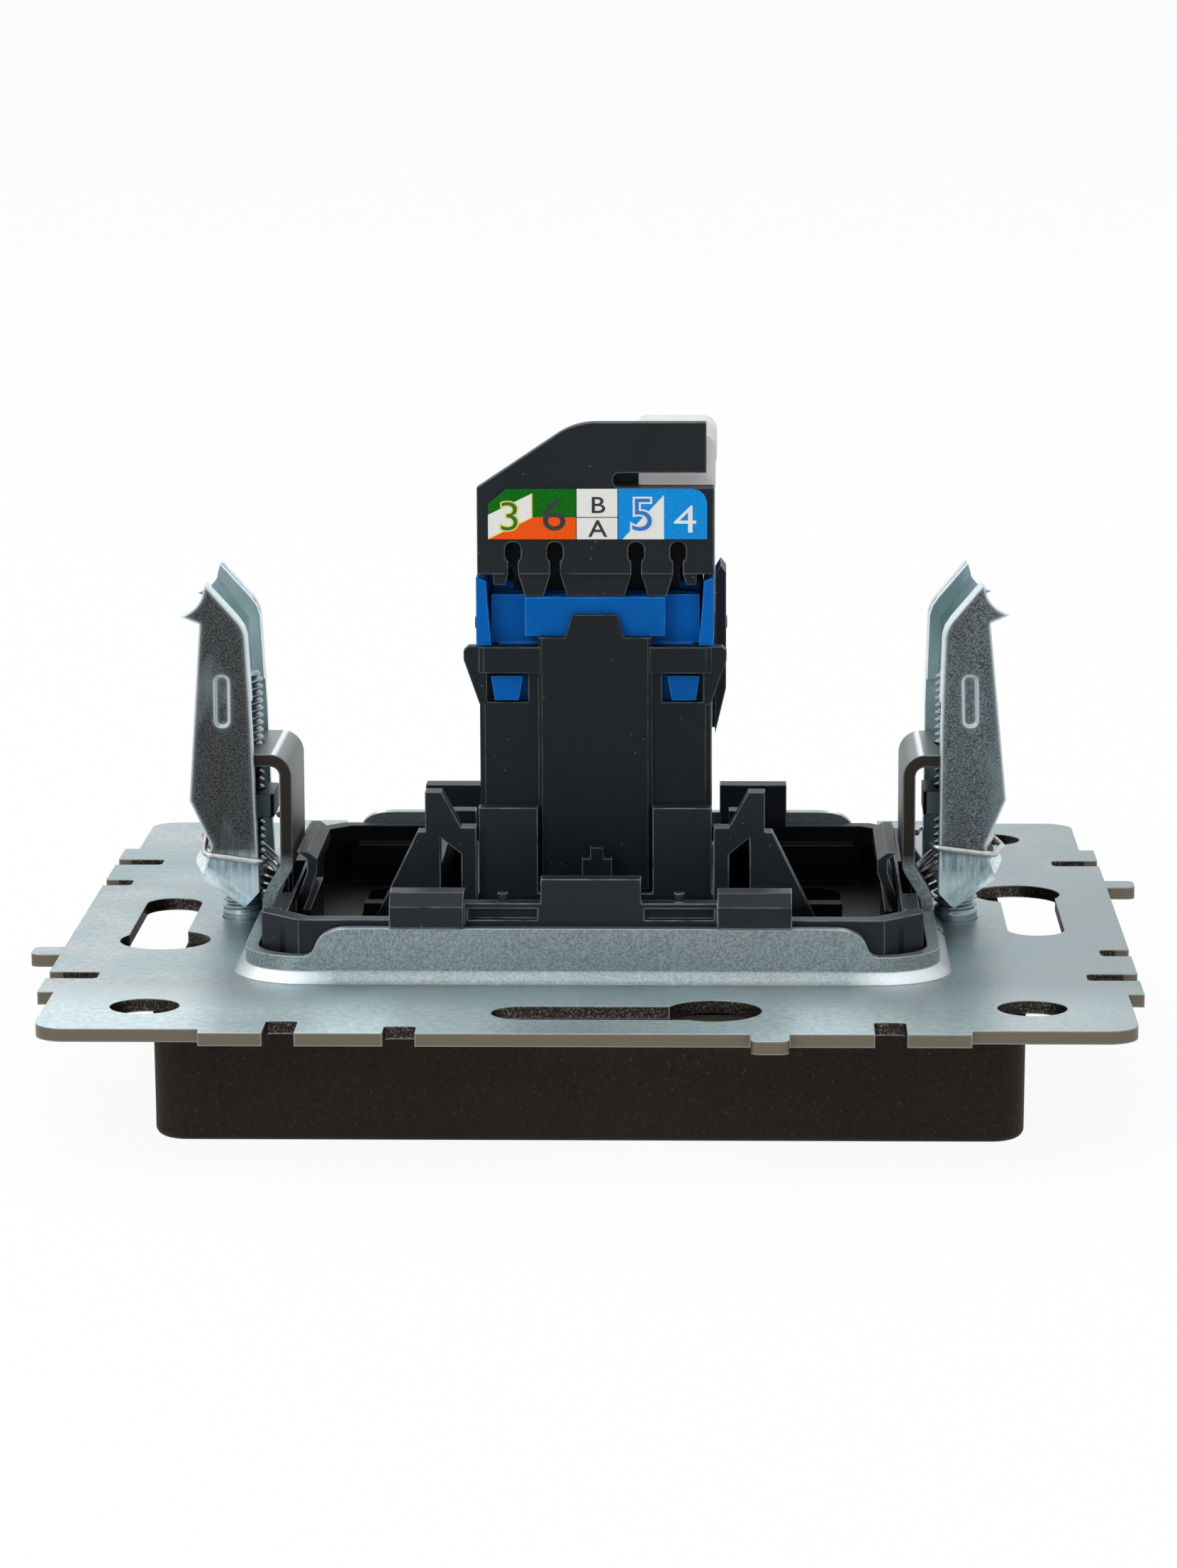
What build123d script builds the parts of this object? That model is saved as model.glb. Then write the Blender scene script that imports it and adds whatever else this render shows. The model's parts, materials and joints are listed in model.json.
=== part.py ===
from build123d import *
import math
import os

# Flush wall socket for one data outlet, lying on its front cover with the wiring side up.
# Millimetres. The origin is the centre of the mounting plate's wall-side face, +Z points
# into the wall, X runs through the two fixing claws.

# Running and assembly clearances
PLAY = 0.2              # between moulded parts that slip together
SEAT = 0.04             # between faces that rest on each other
SCREW_PLAY = 0.05       # radial, screw shank in its holes

# Mounting plate, one stamped sheet
PLATE_SIZE = 71.0
SHEET = 0.85
EDGE_RUN = 24.0         # half length of each full-width edge
CORNER_INSET = 1.05
CORNER_R = 2.0
SLOT_RADIUS = 29.7      # takes box screws 60 apart
SLOT_W = 3.85
SLOT_TAIL = 4.1         # centre of the narrow end
SLOT_HEAD = 8.0         # centre of the wide end
SLOT_HEAD_R = 3.05
SLOT_HEAD_IN = 0.7      # wide end, nearer to the middle
CORNER_HOLE_AT = 28.1
CORNER_HOLE_R = 2.22
NOTCH_W = 2.0
NOTCH_DEEP = 3.35
NOTCH_SHALLOW = 2.0
NOTCH_AT = 19.0
NOTCH_SHALLOW_AT = 11.5
TONGUE_W = 2.4
TONGUE_OUT = 2.0

# Collar drawn up round the opening
OPENING_X = 43.7
OPENING_Y = 40.2
OPENING_R = 3.2
COLLAR_H = 3.55
COLLAR_TOP = 16.9       # half length of the tall walls
COLLAR_STEP = 1.7       # length of the curve down to the lip
LIP_H = 1.7
COLLAR_ROOT_R = 0.7

# Claw straps, bent up from the same sheet
STRAP_W = 9.8
STRAP_FACE = 21.45      # outward face of the upright
STRAP_H = 12.15
STRAP_JOG_LOW = 2.2
STRAP_JOG_HIGH = 4.3
STRAP_BEND_R = 1.5
STRAP_REACH = 2.2       # beyond the screw axis
STRAP_GAP = 1.3         # relief beside the strap's root
WINDOW_HALF = 3.2       # opening in the strap for the spring's inner side
WINDOW_FOOT = 0.9
WINDOW_HEAD = 4.4

# Claw screws
SCREW_AT = 24.4
SCREW_D = 3.0
SCREW_TOP = 17.1
SCREW_PITCH = 0.5
HEAD_D = 5.4
HEAD_H = 1.9
RECESS_W = 0.9
RECESS_SPAN = 2.8
RECESS_DEEP = 1.2

# Claws: U-shaped stampings that tilt on their lower inner corner
CLAW_PLAY = 0.3
CLAW_T = 0.9
CLAW_BEND_R = 0.6
WEB_TILT = 35.0
PIVOT_IN = 1.0          # pivot, inward of the screw axis
PIVOT_Z = 1.7
WEB_DROP = 0.42         # web's underside below the pivot
WEB_START = 0.4         # along the web from the pivot
WEB_END = 4.9
WEB_END_R = 7.0
NOTCH_PLAY = 0.3
SKEW_TURN = 3.4         # the right claw stands skewed on its strap, as in the photo
SKEW_LEAN = 1.4
SKEW_SHIFT = 0.1
LIP_DEPTH = 1.0
LIP_T = 0.7
RIB_W = 0.9
RIB_L = 3.4
RIB_DEEP = 0.3

# Nuts and return springs
NUT_W = 4.6
NUT_T = 1.6
NUT_GAP = 0.15
WIRE = 0.42
COIL_PITCH = 0.55
COIL_TURNS = 3
COIL_R = 3.0
COIL_AT = 2.25          # along the web from the pivot
ARM_X = 2.1             # where the arms pass the prongs' outer edges
ARM_LOW = (5.5, 6.15)   # the lower end's arm, outer and inner heights
ARM_HIGH = (5.55, 5.0)  # the upper end's arm
ARM_BOW = 0.3           # the arms swing clear of the turns before they cross over
ARM_BOW_AT = 1.6

# Cover
COVER_SIZE = 55.7
COVER_DRAFT = 1.0
COVER_CORNER_R = 2.2
COVER_EDGE_R = 0.6
COVER_DEPTH = 8.0
COVER_FACE_T = 1.8
COVER_WALL = 1.5
COVER_CLIP_W = 7.0
COVER_CLIP_T = 1.1
COVER_CLIP_BUMP = 0.5
APERTURE_X = 15.0
APERTURE_Y = 16.9

# Carrier moulding
CARRIER_WALL = 1.2
CARRIER_GAP = 0.25      # beside the collar's inner faces
TRAY_TOP = -2.4         # underside of the floor, top of the tray
LEDGE = 1.2
LEDGE_TOP = 1.6
FLANGE_HALF = 17.0
POST_WALL_TOP = 5.4
CARRIER_CHAMFER = 2.6
RIM_NEAR = 3.9
RIM_FAR = 2.8
RIM_MID = 5.0           # raised middle of the near wall
RIM_MID_HALF = 8.2
FLOOR_T = 1.1
FLANGE_T = 1.2
FLANGE_REACH = 2.4
HOOK_IN = 8.2
HOOK_OUT = 13.0
HOOK_H = 2.2
CENTRE_HALF = 3.25
CENTRE_TOP = 6.6
STRAP_RECESS = 1.0
SIDE_CLIP_T = 0.7
HOLDER_WALL = 1.15
HOLDER_TOP = 3.5
POST_T = 1.0
POST_AT = 10.3
POST_TOP = 10.5
POST_DEEP = 1.4
BRACE_FOOT = 14.85
BRACE_TOP = 7.8
FAR_POST_TOP = 5.8
FOOT_TOP = 9.3
FOOT_IN = 3.83
FOOT_OUT = 7.9
ARM_TOP = 8.1
TRAY_DEPTH = 4.0
TRAY_HALF = 18.0

# Jack module
JACK_X = 15.4
JACK_Y = 16.0
JACK_FRONT = 8.2        # front face below the plate's rear face
JACK_WALL = 1.1
NOSE_LONG = 1.6         # smaller front end that stands in the cover's aperture
NOSE_FIT = 0.15
JACK_TOP = 20.7
BAND_LOW = 16.1
BAND_TOP = 20.0
EAR_OUT = 8.75
EAR_T = 1.0
LIP_LOW = 18.25         # lower edge of the proud band
LIP_OUT = 0.42
PANEL_HALF = 3.75
PANEL_OUT = 0.55
PANEL_PEAK = 22.2
PANEL_PEAK_HALF = 1.5
PANEL_NECK_HALF = 2.15
WINDOW_IN = 4.45
WINDOW_OUT = 7.2
WINDOW_TOP = 18.2
WINDOW_LOW = 16.25
PORT_X = 11.8
PORT_Y = 6.8
PORT_DEEP = 13.2
PORT_SHIFT = 1.0        # port centre, towards +Y
KEY_W = 6.2
KEY_Y = 1.5
LATCH_TAB_W = 2.0
LATCH_TAB_LOW = 4.4
LATCH_TAB_TOP = 6.1
LATCH_NUB_W = 0.9
LATCH_NUB_H = 0.75
LATCH_ARM_T = 0.9
LATCH_OFF = 1.55        # clear space behind the flexing arm
LATCH_AT = 0.15
LATCH_ROOT_LOW = -4.6
LATCH_ROOT_TOP = -3.2
JACK_FIT = 0.06         # jack in its holder
PANEL_LOW = 3.65
COMB_DEEP = 1.3
RECESS_HALF = 4.3
COMB_OVERLAP = 3.0
CONTACT_Y = -3.1
BOARD_FIT = 0.1
LEG_W = 0.5

# Contact carrier, board and contacts
BOARD_T = 1.2
BOARD_Z = 9.2
CONTACTS = 8
CONTACT_PITCH = 1.02
CONTACT_W = 0.36
BLADE_W = 1.9
BLADE_T = 0.5
BLADE_TOP = 23.2
BLADE_AT = 5.7
BLADE_SLOT_W = 0.4
BLADE_SLOT_H = 3.6

# Terminal body and wire cap
COLUMN_W = 0.95
BODY_TOP = 24.6
BLOCK_HALF = 4.65
BLOCK_TOP = 23.3
BODY_INSET = 1.3
PLUG_LOW = 12.0
WIRE_CUT = 0.65
FIN_HALF = 2.3
FIN_TOP = 31.2
FIN_Y = 3.6
FIN_T = 1.2
CAP_WALL = 1.1
CAP_EDGE_Z = 24.85
TOOTH_OUT = 5.6
CAP_TOOTH_Z = BLOCK_TOP + SEAT
CAP_LEFT = 7.8
CAP_RIGHT = 7.9
CABLE_LEFT = 4.0
CABLE_RIGHT = 2.6
CABLE_NEAR = 3.4
CABLE_FAR = 4.4
CAP_TOP_Z = 30.6
CAP_ROOF_T = 1.0
CAP_PEAK_Z = 34.93
CAP_SLOPE_TO = -1.3      # where the sloping edge would meet the top
CAP_SLOPE_R = 4.6
CAP_SLOT_TOP = 31.6
CAP_SLOT_IN = 1.2
CAP_STEP = 0.5          # upper blade, inward of the cap's right side
DIVIDER_NEAR = -4.0     # low walls that the wires are led over
DIVIDER_FAR = 4.5
DIVIDER_T = 0.55
DIVIDER_TOP = 27.8
WIRE_SLOTS = (-5.42, -2.63, 2.75, 5.53)
WIRE_SLOT_W = 1.05
WIRE_SLOT_TOP = 27.0
WIRE_SLOT_THROAT = 25.6
LABEL_T = 0.12
LABEL_LOW = 27.2
LABEL_TOP = 30.55
LABEL_LEFT = 7.05
LABEL_RIGHT = 7.45
GUIDE_T = 0.8
GUIDE_LEFT = 2.7
GUIDE_RIGHT = 8.05
GUIDE_TOP = 34.05
GUIDE_FRONT = 0.8
GUIDE_BACK = 4.9
LATCH_NEAR = 0.0
LATCH_T = 0.75
LATCH_W = 4.0
LATCH_LOW = 12.7
LATCH_TOP = 24.37


def block(x0, x1, y0, y1, z0, z1):
    """Box between two corners."""
    size = Box(x1 - x0, y1 - y0, z1 - z0)
    return Pos((x0 + x1) / 2, (y0 + y1) / 2, (z0 + z1) / 2) * size


def prism_xz(points, y0, y1):
    """Outline in X and Z carried along Y."""
    outline = Polyline(*[(x, y0, z) for x, z in points], close=True)
    return extrude(make_face(outline), amount=y1 - y0, dir=(0, 1, 0))


def prism_yz(points, x0, x1):
    """Outline in Y and Z carried along X."""
    outline = Polyline(*[(x0, y, z) for y, z in points], close=True)
    return extrude(make_face(outline), amount=x1 - x0, dir=(1, 0, 0))


def prism_xy(points, z0, z1):
    """Outline in X and Y carried along Z."""
    outline = Polyline(*[(x, y, z0) for x, y in points], close=True)
    return extrude(make_face(outline), amount=z1 - z0, dir=(0, 0, 1))


def rod(x, y, z0, z1, radius):
    """Upright cylinder."""
    return Pos(x, y, (z0 + z1) / 2) * Cylinder(radius, z1 - z0)


def four_ways(shape):
    """The shape and its three quarter turns about Z."""
    return [Rot(0, 0, 90 * turn) * shape for turn in range(4)]


def both_sides(shape):
    """The shape and its mirror image across the YZ plane."""
    return shape + mirror(shape, about=Plane.YZ)


def rounded_prism(size_x, size_y, radius, z0, z1):
    """Upright block with rounded vertical edges."""
    outline = RectangleRounded(size_x, size_y, radius)
    return Pos(0, 0, z0) * extrude(outline, amount=z1 - z0)


def plate_outline():
    """Flat blank: full-width edges, set-in rounded corners, a tongue on each side."""
    half = PLATE_SIZE / 2
    inner = half - CORNER_INSET
    blank = rounded_prism(2 * inner, 2 * inner, CORNER_R, -SHEET, 0)
    blank += block(-half, half, -EDGE_RUN, EDGE_RUN, -SHEET, 0)
    blank += block(-EDGE_RUN, EDGE_RUN, -half, half, -SHEET, 0)
    reach = half + TONGUE_OUT
    tip = NOTCH_SHALLOW_AT
    tongue = block(tip - TONGUE_W / 2, tip + TONGUE_W / 2, -reach, -inner, -SHEET, 0)
    ends = tongue.edges().filter_by(Axis.Z).group_by(Axis.Y)[0]
    tongue = fillet(ends, TONGUE_W / 4)
    for side in four_ways(tongue):
        blank += side
    return blank


def plate_cuts():
    """Everything punched through the blank, on each of the four sides."""
    half = PLATE_SIZE / 2
    low = -2 * SHEET
    high = SHEET
    notches = [(-NOTCH_AT, NOTCH_DEEP), (-NOTCH_SHALLOW_AT, NOTCH_SHALLOW), (NOTCH_AT, NOTCH_DEEP)]
    side = rod(SLOT_HEAD, -SLOT_RADIUS + SLOT_HEAD_IN, low, high, SLOT_HEAD_R)
    side += rod(-SLOT_TAIL, -SLOT_RADIUS, low, high, SLOT_W / 2)
    side += block(-SLOT_TAIL, SLOT_HEAD, -SLOT_RADIUS - SLOT_W / 2, -SLOT_RADIUS + SLOT_W / 2, low, high)
    side += rod(CORNER_HOLE_AT, -CORNER_HOLE_AT, low, high, CORNER_HOLE_R)
    for at, deep in notches:
        cut = block(at - NOTCH_W / 2, at + NOTCH_W / 2, -half - SHEET, -half + deep, low, high)
        ends = cut.edges().filter_by(Axis.Z).group_by(Axis.Y)[-1]
        side += fillet(ends, NOTCH_W / 5)
    return four_ways(side)


def collar():
    """Wall drawn up round the opening: tall at near and far sides, a low lip elsewhere."""
    outer_x = OPENING_X + 2 * SHEET
    outer_y = OPENING_Y + 2 * SHEET
    ring = rounded_prism(outer_x, outer_y, OPENING_R + SHEET, -SHEET, COLLAR_H)
    foot = rounded_prism(
        outer_x + 2 * COLLAR_ROOT_R, outer_y + 2 * COLLAR_ROOT_R, OPENING_R + SHEET + COLLAR_ROOT_R,
        -SHEET, COLLAR_ROOT_R,
    )
    foot = chamfer(foot.faces().sort_by(Axis.Z)[-1].edges(), COLLAR_ROOT_R * 0.95)
    ring += foot
    high = COLLAR_H + SHEET
    middle = (COLLAR_H + LIP_H) / 2
    bend = COLLAR_TOP + COLLAR_STEP / 2
    far = COLLAR_TOP + COLLAR_STEP
    edge = outer_x
    curve = Curve() + [
        Line((COLLAR_TOP - COLLAR_STEP, 0, high), (COLLAR_TOP - COLLAR_STEP, 0, COLLAR_H)),
        Spline(
            (COLLAR_TOP - COLLAR_STEP, 0, COLLAR_H), (bend, 0, middle), (far, 0, LIP_H),
            tangents=[(1, 0, 0), (1, 0, 0)],
        ),
        Line((far, 0, LIP_H), (edge, 0, LIP_H)),
        Line((edge, 0, LIP_H), (edge, 0, high)),
        Line((edge, 0, high), (COLLAR_TOP - COLLAR_STEP, 0, high)),
    ]
    away = extrude(make_face(curve), amount=outer_y, dir=(0, 1, 0), both=True)
    ring -= both_sides(away)
    side_gap = STRAP_W / 2 + STRAP_GAP
    for y in (-side_gap, side_gap - STRAP_GAP):
        ring -= block(-edge, edge, y, y + STRAP_GAP, 0, high)
    return ring


def strap():
    """Right-hand strap: up from the collar, jogged inward, then bent out over the claw."""
    root = OPENING_X / 2
    upright = STRAP_FACE - SHEET
    face = FilletPolyline(
        (root, 0, -SHEET), (root, 0, STRAP_JOG_LOW), (upright, 0, STRAP_JOG_HIGH),
        (upright, 0, STRAP_H), (SCREW_AT + STRAP_REACH, 0, STRAP_H),
        radius=[SHEET, SHEET, STRAP_BEND_R],
    )
    profile = make_face(offset(face, amount=SHEET, side=Side.LEFT))
    body = extrude(profile, amount=STRAP_W / 2, dir=(0, 1, 0), both=True)
    window = block(upright - SHEET, root + 2 * SHEET, -WINDOW_HALF, WINDOW_HALF, WINDOW_FOOT, WINDOW_HEAD)
    return body - fillet(window.edges().filter_by(Axis.X), SHEET)


def mounting_plate():
    body = plate_outline()
    for cut in plate_cuts():
        body -= cut
    body += collar()
    body -= rounded_prism(OPENING_X, OPENING_Y, OPENING_R, -2 * SHEET, 2 * COLLAR_H)
    body += both_sides(strap())
    hole = SCREW_D / 2 + SCREW_PLAY
    body -= both_sides(rod(SCREW_AT, 0, -2 * SHEET, SCREW_TOP, hole))
    return body


def claw_screw(side):
    """Pan-head screw, its head in front of the plate and its end above the strap."""
    under = -SHEET - SEAT
    shank = rod(0, 0, under, SCREW_TOP, SCREW_D / 2)
    shank = chamfer(shank.edges().sort_by(Axis.Z)[-1], SCREW_PITCH / 2)
    head = rod(0, 0, under - HEAD_H, under, HEAD_D / 2)
    head = fillet(head.edges().sort_by(Axis.Z)[0], HEAD_H / 3)
    low = under - HEAD_H
    for turn in (0, 90):
        slot = block(-RECESS_SPAN / 2, RECESS_SPAN / 2, -RECESS_W / 2, RECESS_W / 2, low, low + RECESS_DEEP)
        head -= Rot(0, 0, turn) * slot
    return Pos(side * SCREW_AT, 0, 0) * (shank + head)


def on_web(shape):
    """Takes a shape drawn on a level web, pivot at the origin, to the tilted web of the right claw."""
    return Pos(-PIVOT_IN, 0, PIVOT_Z) * Rot(0, -WEB_TILT, 0) * shape


def to_side(shape, side):
    """Takes a shape drawn about the screw axis, outward along +X, to the right or left claw."""
    turned = shape if side > 0 else Rot(0, 0, 180) * shape
    return Pos(side * SCREW_AT, 0, 0) * turned


def stand(shape, side):
    """Stands a claw, or the spring on it, at its place: the left one square, the right one skewed."""
    if side > 0:
        shape = Pos(PIVOT_IN, 0, -PIVOT_Z) * shape
        shape = Pos(-PIVOT_IN, 0, PIVOT_Z) * Rot(0, -SKEW_LEAN, 0) * shape
        shape = Pos(-SKEW_SHIFT, 0, 0) * Rot(0, 0, SKEW_TURN) * shape
    return to_side(shape, side)


def claw_outline():
    """Side view of one prong, outward along +X: leaning blade, scooped tip, cut-in foot."""
    blade = Curve() + [
        Line((-0.55, 0, 1.7), (-1.6, 0, 2.9)),
        Line((-1.6, 0, 2.9), (-1.25, 0, 14.0)),
        Line((-1.25, 0, 14.0), (-0.92, 0, 20.3)),
        ThreePointArc((-0.92, 0, 20.3), (-0.72, 0, 20.95), (-0.3, 0, 21.55)),
        Line((-0.3, 0, 21.55), (1.75, 0, 23.85)),
        ThreePointArc((1.75, 0, 23.85), (2.25, 0, 22.5), (3.4, 0, 21.7)),
        Line((3.4, 0, 21.7), (2.15, 0, 21.2)),
        Line((2.15, 0, 21.2), (3.02, 0, 9.2)),
        Line((3.02, 0, 9.2), (1.6, 0, 6.1)),
        Line((1.6, 0, 6.1), (2.3, 0, 3.6)),
        Line((2.3, 0, 3.6), (-0.55, 0, 1.7)),
    ]
    return make_face(blade)


def claw(side):
    """U-shaped stamping: notched web across the bottom, two prongs with rolled edges."""
    half = STRAP_W / 2 + CLAW_PLAY + CLAW_T
    low = -WEB_DROP
    reach = SCREW_TOP * 2
    channel = block(-reach, reach, -half, half, low, reach)
    channel = fillet(channel.edges().filter_by(Axis.X).group_by(Axis.Z)[0], CLAW_T + CLAW_BEND_R)
    inner = half - CLAW_T
    hollow = block(-reach - 1, reach + 1, -inner, inner, low + CLAW_T, reach + 1)
    channel -= fillet(hollow.edges().filter_by(Axis.X).group_by(Axis.Z)[0], CLAW_BEND_R)
    prongs = extrude(claw_outline(), amount=half, dir=(0, 1, 0), both=True)
    web = block(WEB_START, WEB_END, -half, half, low - CLAW_T, low + CLAW_T + CLAW_BEND_R)
    web &= rod(WEB_END - WEB_END_R, 0, low - CLAW_T, low + 3 * CLAW_T, WEB_END_R)
    body = on_web(channel) & (prongs + on_web(web))
    slot_w = SCREW_D + 2 * NOTCH_PLAY
    lean = math.radians(WEB_TILT)
    web_top = CLAW_T - WEB_DROP
    slot_end = (PIVOT_IN + SCREW_D / 2 + web_top * math.sin(lean)) / math.cos(lean) + NOTCH_PLAY
    slot = block(-reach, slot_end - slot_w / 2, -slot_w / 2, slot_w / 2, -reach, web_top + CLAW_T)
    slot += rod(slot_end - slot_w / 2, 0, -reach, web_top + CLAW_T, slot_w / 2)
    body -= on_web(slot)
    lip_low = 15.8
    lip = prism_xz(
        [(-1.17, lip_low), (-0.92, 20.3), (-0.72, 20.93), (-0.3, 21.53), (1.75, 23.8), (1.95, 23.05),
         (-0.3 + LIP_T, 20.9), (-0.92 + LIP_T, 20.1), (-1.17 + LIP_T, lip_low)],
        inner - LIP_DEPTH, half,
    )
    rib = block(-RIB_W / 2, RIB_W / 2, half - RIB_DEEP, half + 1, -RIB_L / 2, RIB_L / 2)
    rib = fillet(rib.edges().filter_by(Axis.Y), RIB_W * 0.4)
    rib = Pos(0.72, 0, 15.95) * rib
    for sheet in (lip, mirror(lip, about=Plane.XZ)):
        body += sheet
    for groove in (rib, mirror(rib, about=Plane.XZ)):
        body -= groove
    return stand(body, side)


def coil_top():
    """Height above the pivot, square to the web, of the spring lying on it."""
    return CLAW_T - WEB_DROP + SEAT + COIL_TURNS * COIL_PITCH + WIRE


def nut_rest(side):
    """Height of the nut's underside with the claw folded in."""
    lean = math.radians(WEB_TILT + (SKEW_LEAN if side > 0 else 0))
    reach = PIVOT_IN + NUT_W / 2 + (SKEW_SHIFT if side > 0 else 0)
    return PIVOT_Z + coil_top() / math.cos(lean) + reach * math.tan(lean) + NUT_GAP


def claw_nut(side):
    """Square nut, kept from turning by the strap beside it."""
    low = nut_rest(side)
    body = block(-NUT_W / 2, NUT_W / 2, -NUT_W / 2, NUT_W / 2, low, low + NUT_T)
    body = chamfer(body.edges().filter_by(Axis.Z), NUT_T / 8)
    body -= rod(0, 0, low - 1, low + NUT_T + 1, SCREW_D / 2 + SCREW_PLAY)
    return to_side(body, side)


def return_spring(side):
    """Wire spring: turns lying on the web round the screw, and an arm over each prong."""
    height = COIL_TURNS * COIL_PITCH
    base = CLAW_T - WEB_DROP + SEAT + WIRE / 2
    turns = Helix(COIL_PITCH, height, COIL_R)
    section = Plane(origin=turns @ 0, z_dir=turns % 0) * Circle(WIRE / 2)
    coil = sweep(section, path=turns, is_frenet=True)
    body = on_web(Pos(COIL_AT, 0, base) * coil)
    lean = math.radians(WEB_TILT)
    out = STRAP_W / 2 + CLAW_PLAY + CLAW_T + WIRE / 2 + SEAT
    for way, lift, (z_out, z_in) in ((-1, 0, ARM_LOW), (1, height, ARM_HIGH)):
        along = COIL_AT + COIL_R
        rise = base + lift
        x = -PIVOT_IN + along * math.cos(lean) - rise * math.sin(lean)
        z = PIVOT_Z + along * math.sin(lean) + rise * math.cos(lean)
        line = FilletPolyline(
            (x, -way * WIRE / 3, z), (x + ARM_BOW, way * ARM_BOW_AT, z + way * ARM_BOW / 2),
            (ARM_X, way * out, z_out),
            (-1.85, way * out, z_in), (-2.0, way * (out - 1.1), z_in - 0.05),
            radius=[WIRE * 2, WIRE * 1.3, WIRE],
        )
        end = Plane(origin=line @ 0, z_dir=line % 0) * Circle(WIRE / 2)
        body += sweep(end, path=line)
    return stand(body, side)


def half_cover(z):
    """Half width of the cover at a height, narrower towards its front."""
    top = -SHEET - SEAT
    return COVER_SIZE / 2 - (top - z) * math.tan(math.radians(COVER_DRAFT)) / 2


def cover():
    """Drafted square front with a shallow skirt, an aperture and four snap arms."""
    top = -SHEET - SEAT
    low = top - COVER_DEPTH
    shell = extrude(
        Pos(0, 0, low) * RectangleRounded(2 * half_cover(low), 2 * half_cover(low), COVER_CORNER_R),
        amount=COVER_DEPTH, taper=-COVER_DRAFT / 2,
    )
    shell = fillet(shell.faces().sort_by(Axis.Z)[0].edges(), COVER_EDGE_R)
    inside = half_cover(low) - COVER_WALL
    shell -= rounded_prism(2 * inside, 2 * inside, COVER_CORNER_R, low + COVER_FACE_T, top + 1)
    shell -= block(-APERTURE_X / 2, APERTURE_X / 2, -APERTURE_Y / 2, APERTURE_Y / 2, low - 1, top)
    room = HEAD_D / 2 + PLAY
    notch = block(inside - 1, SCREW_AT + room, -room - 1, room + 1, top - HEAD_H - 2 * PLAY, top + 1)
    shell -= both_sides(notch)
    face = low + COVER_FACE_T
    arm_in = TRAY_HALF + PLAY
    tip = TRAY_TOP - PLAY
    arm = block(-COVER_CLIP_W / 2, COVER_CLIP_W / 2, arm_in, arm_in + COVER_CLIP_T, face - SEAT, tip)
    bump_in = arm_in - COVER_CLIP_BUMP
    bump = prism_yz(
        [(arm_in + SEAT, tip), (bump_in, tip - COVER_CLIP_BUMP), (arm_in + SEAT, tip - 3 * COVER_CLIP_BUMP)],
        -COVER_CLIP_W / 2 + PLAY, COVER_CLIP_W / 2 - PLAY,
    )
    for snap in four_ways(arm + bump):
        shell += snap
    return shell


def chamfered(half_x, half_y, cut, z0, z1):
    """Upright block with its four vertical edges cut off."""
    body = block(-half_x, half_x, -half_y, half_y, z0, z1)
    return chamfer(body.edges().filter_by(Axis.Z), cut)


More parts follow.
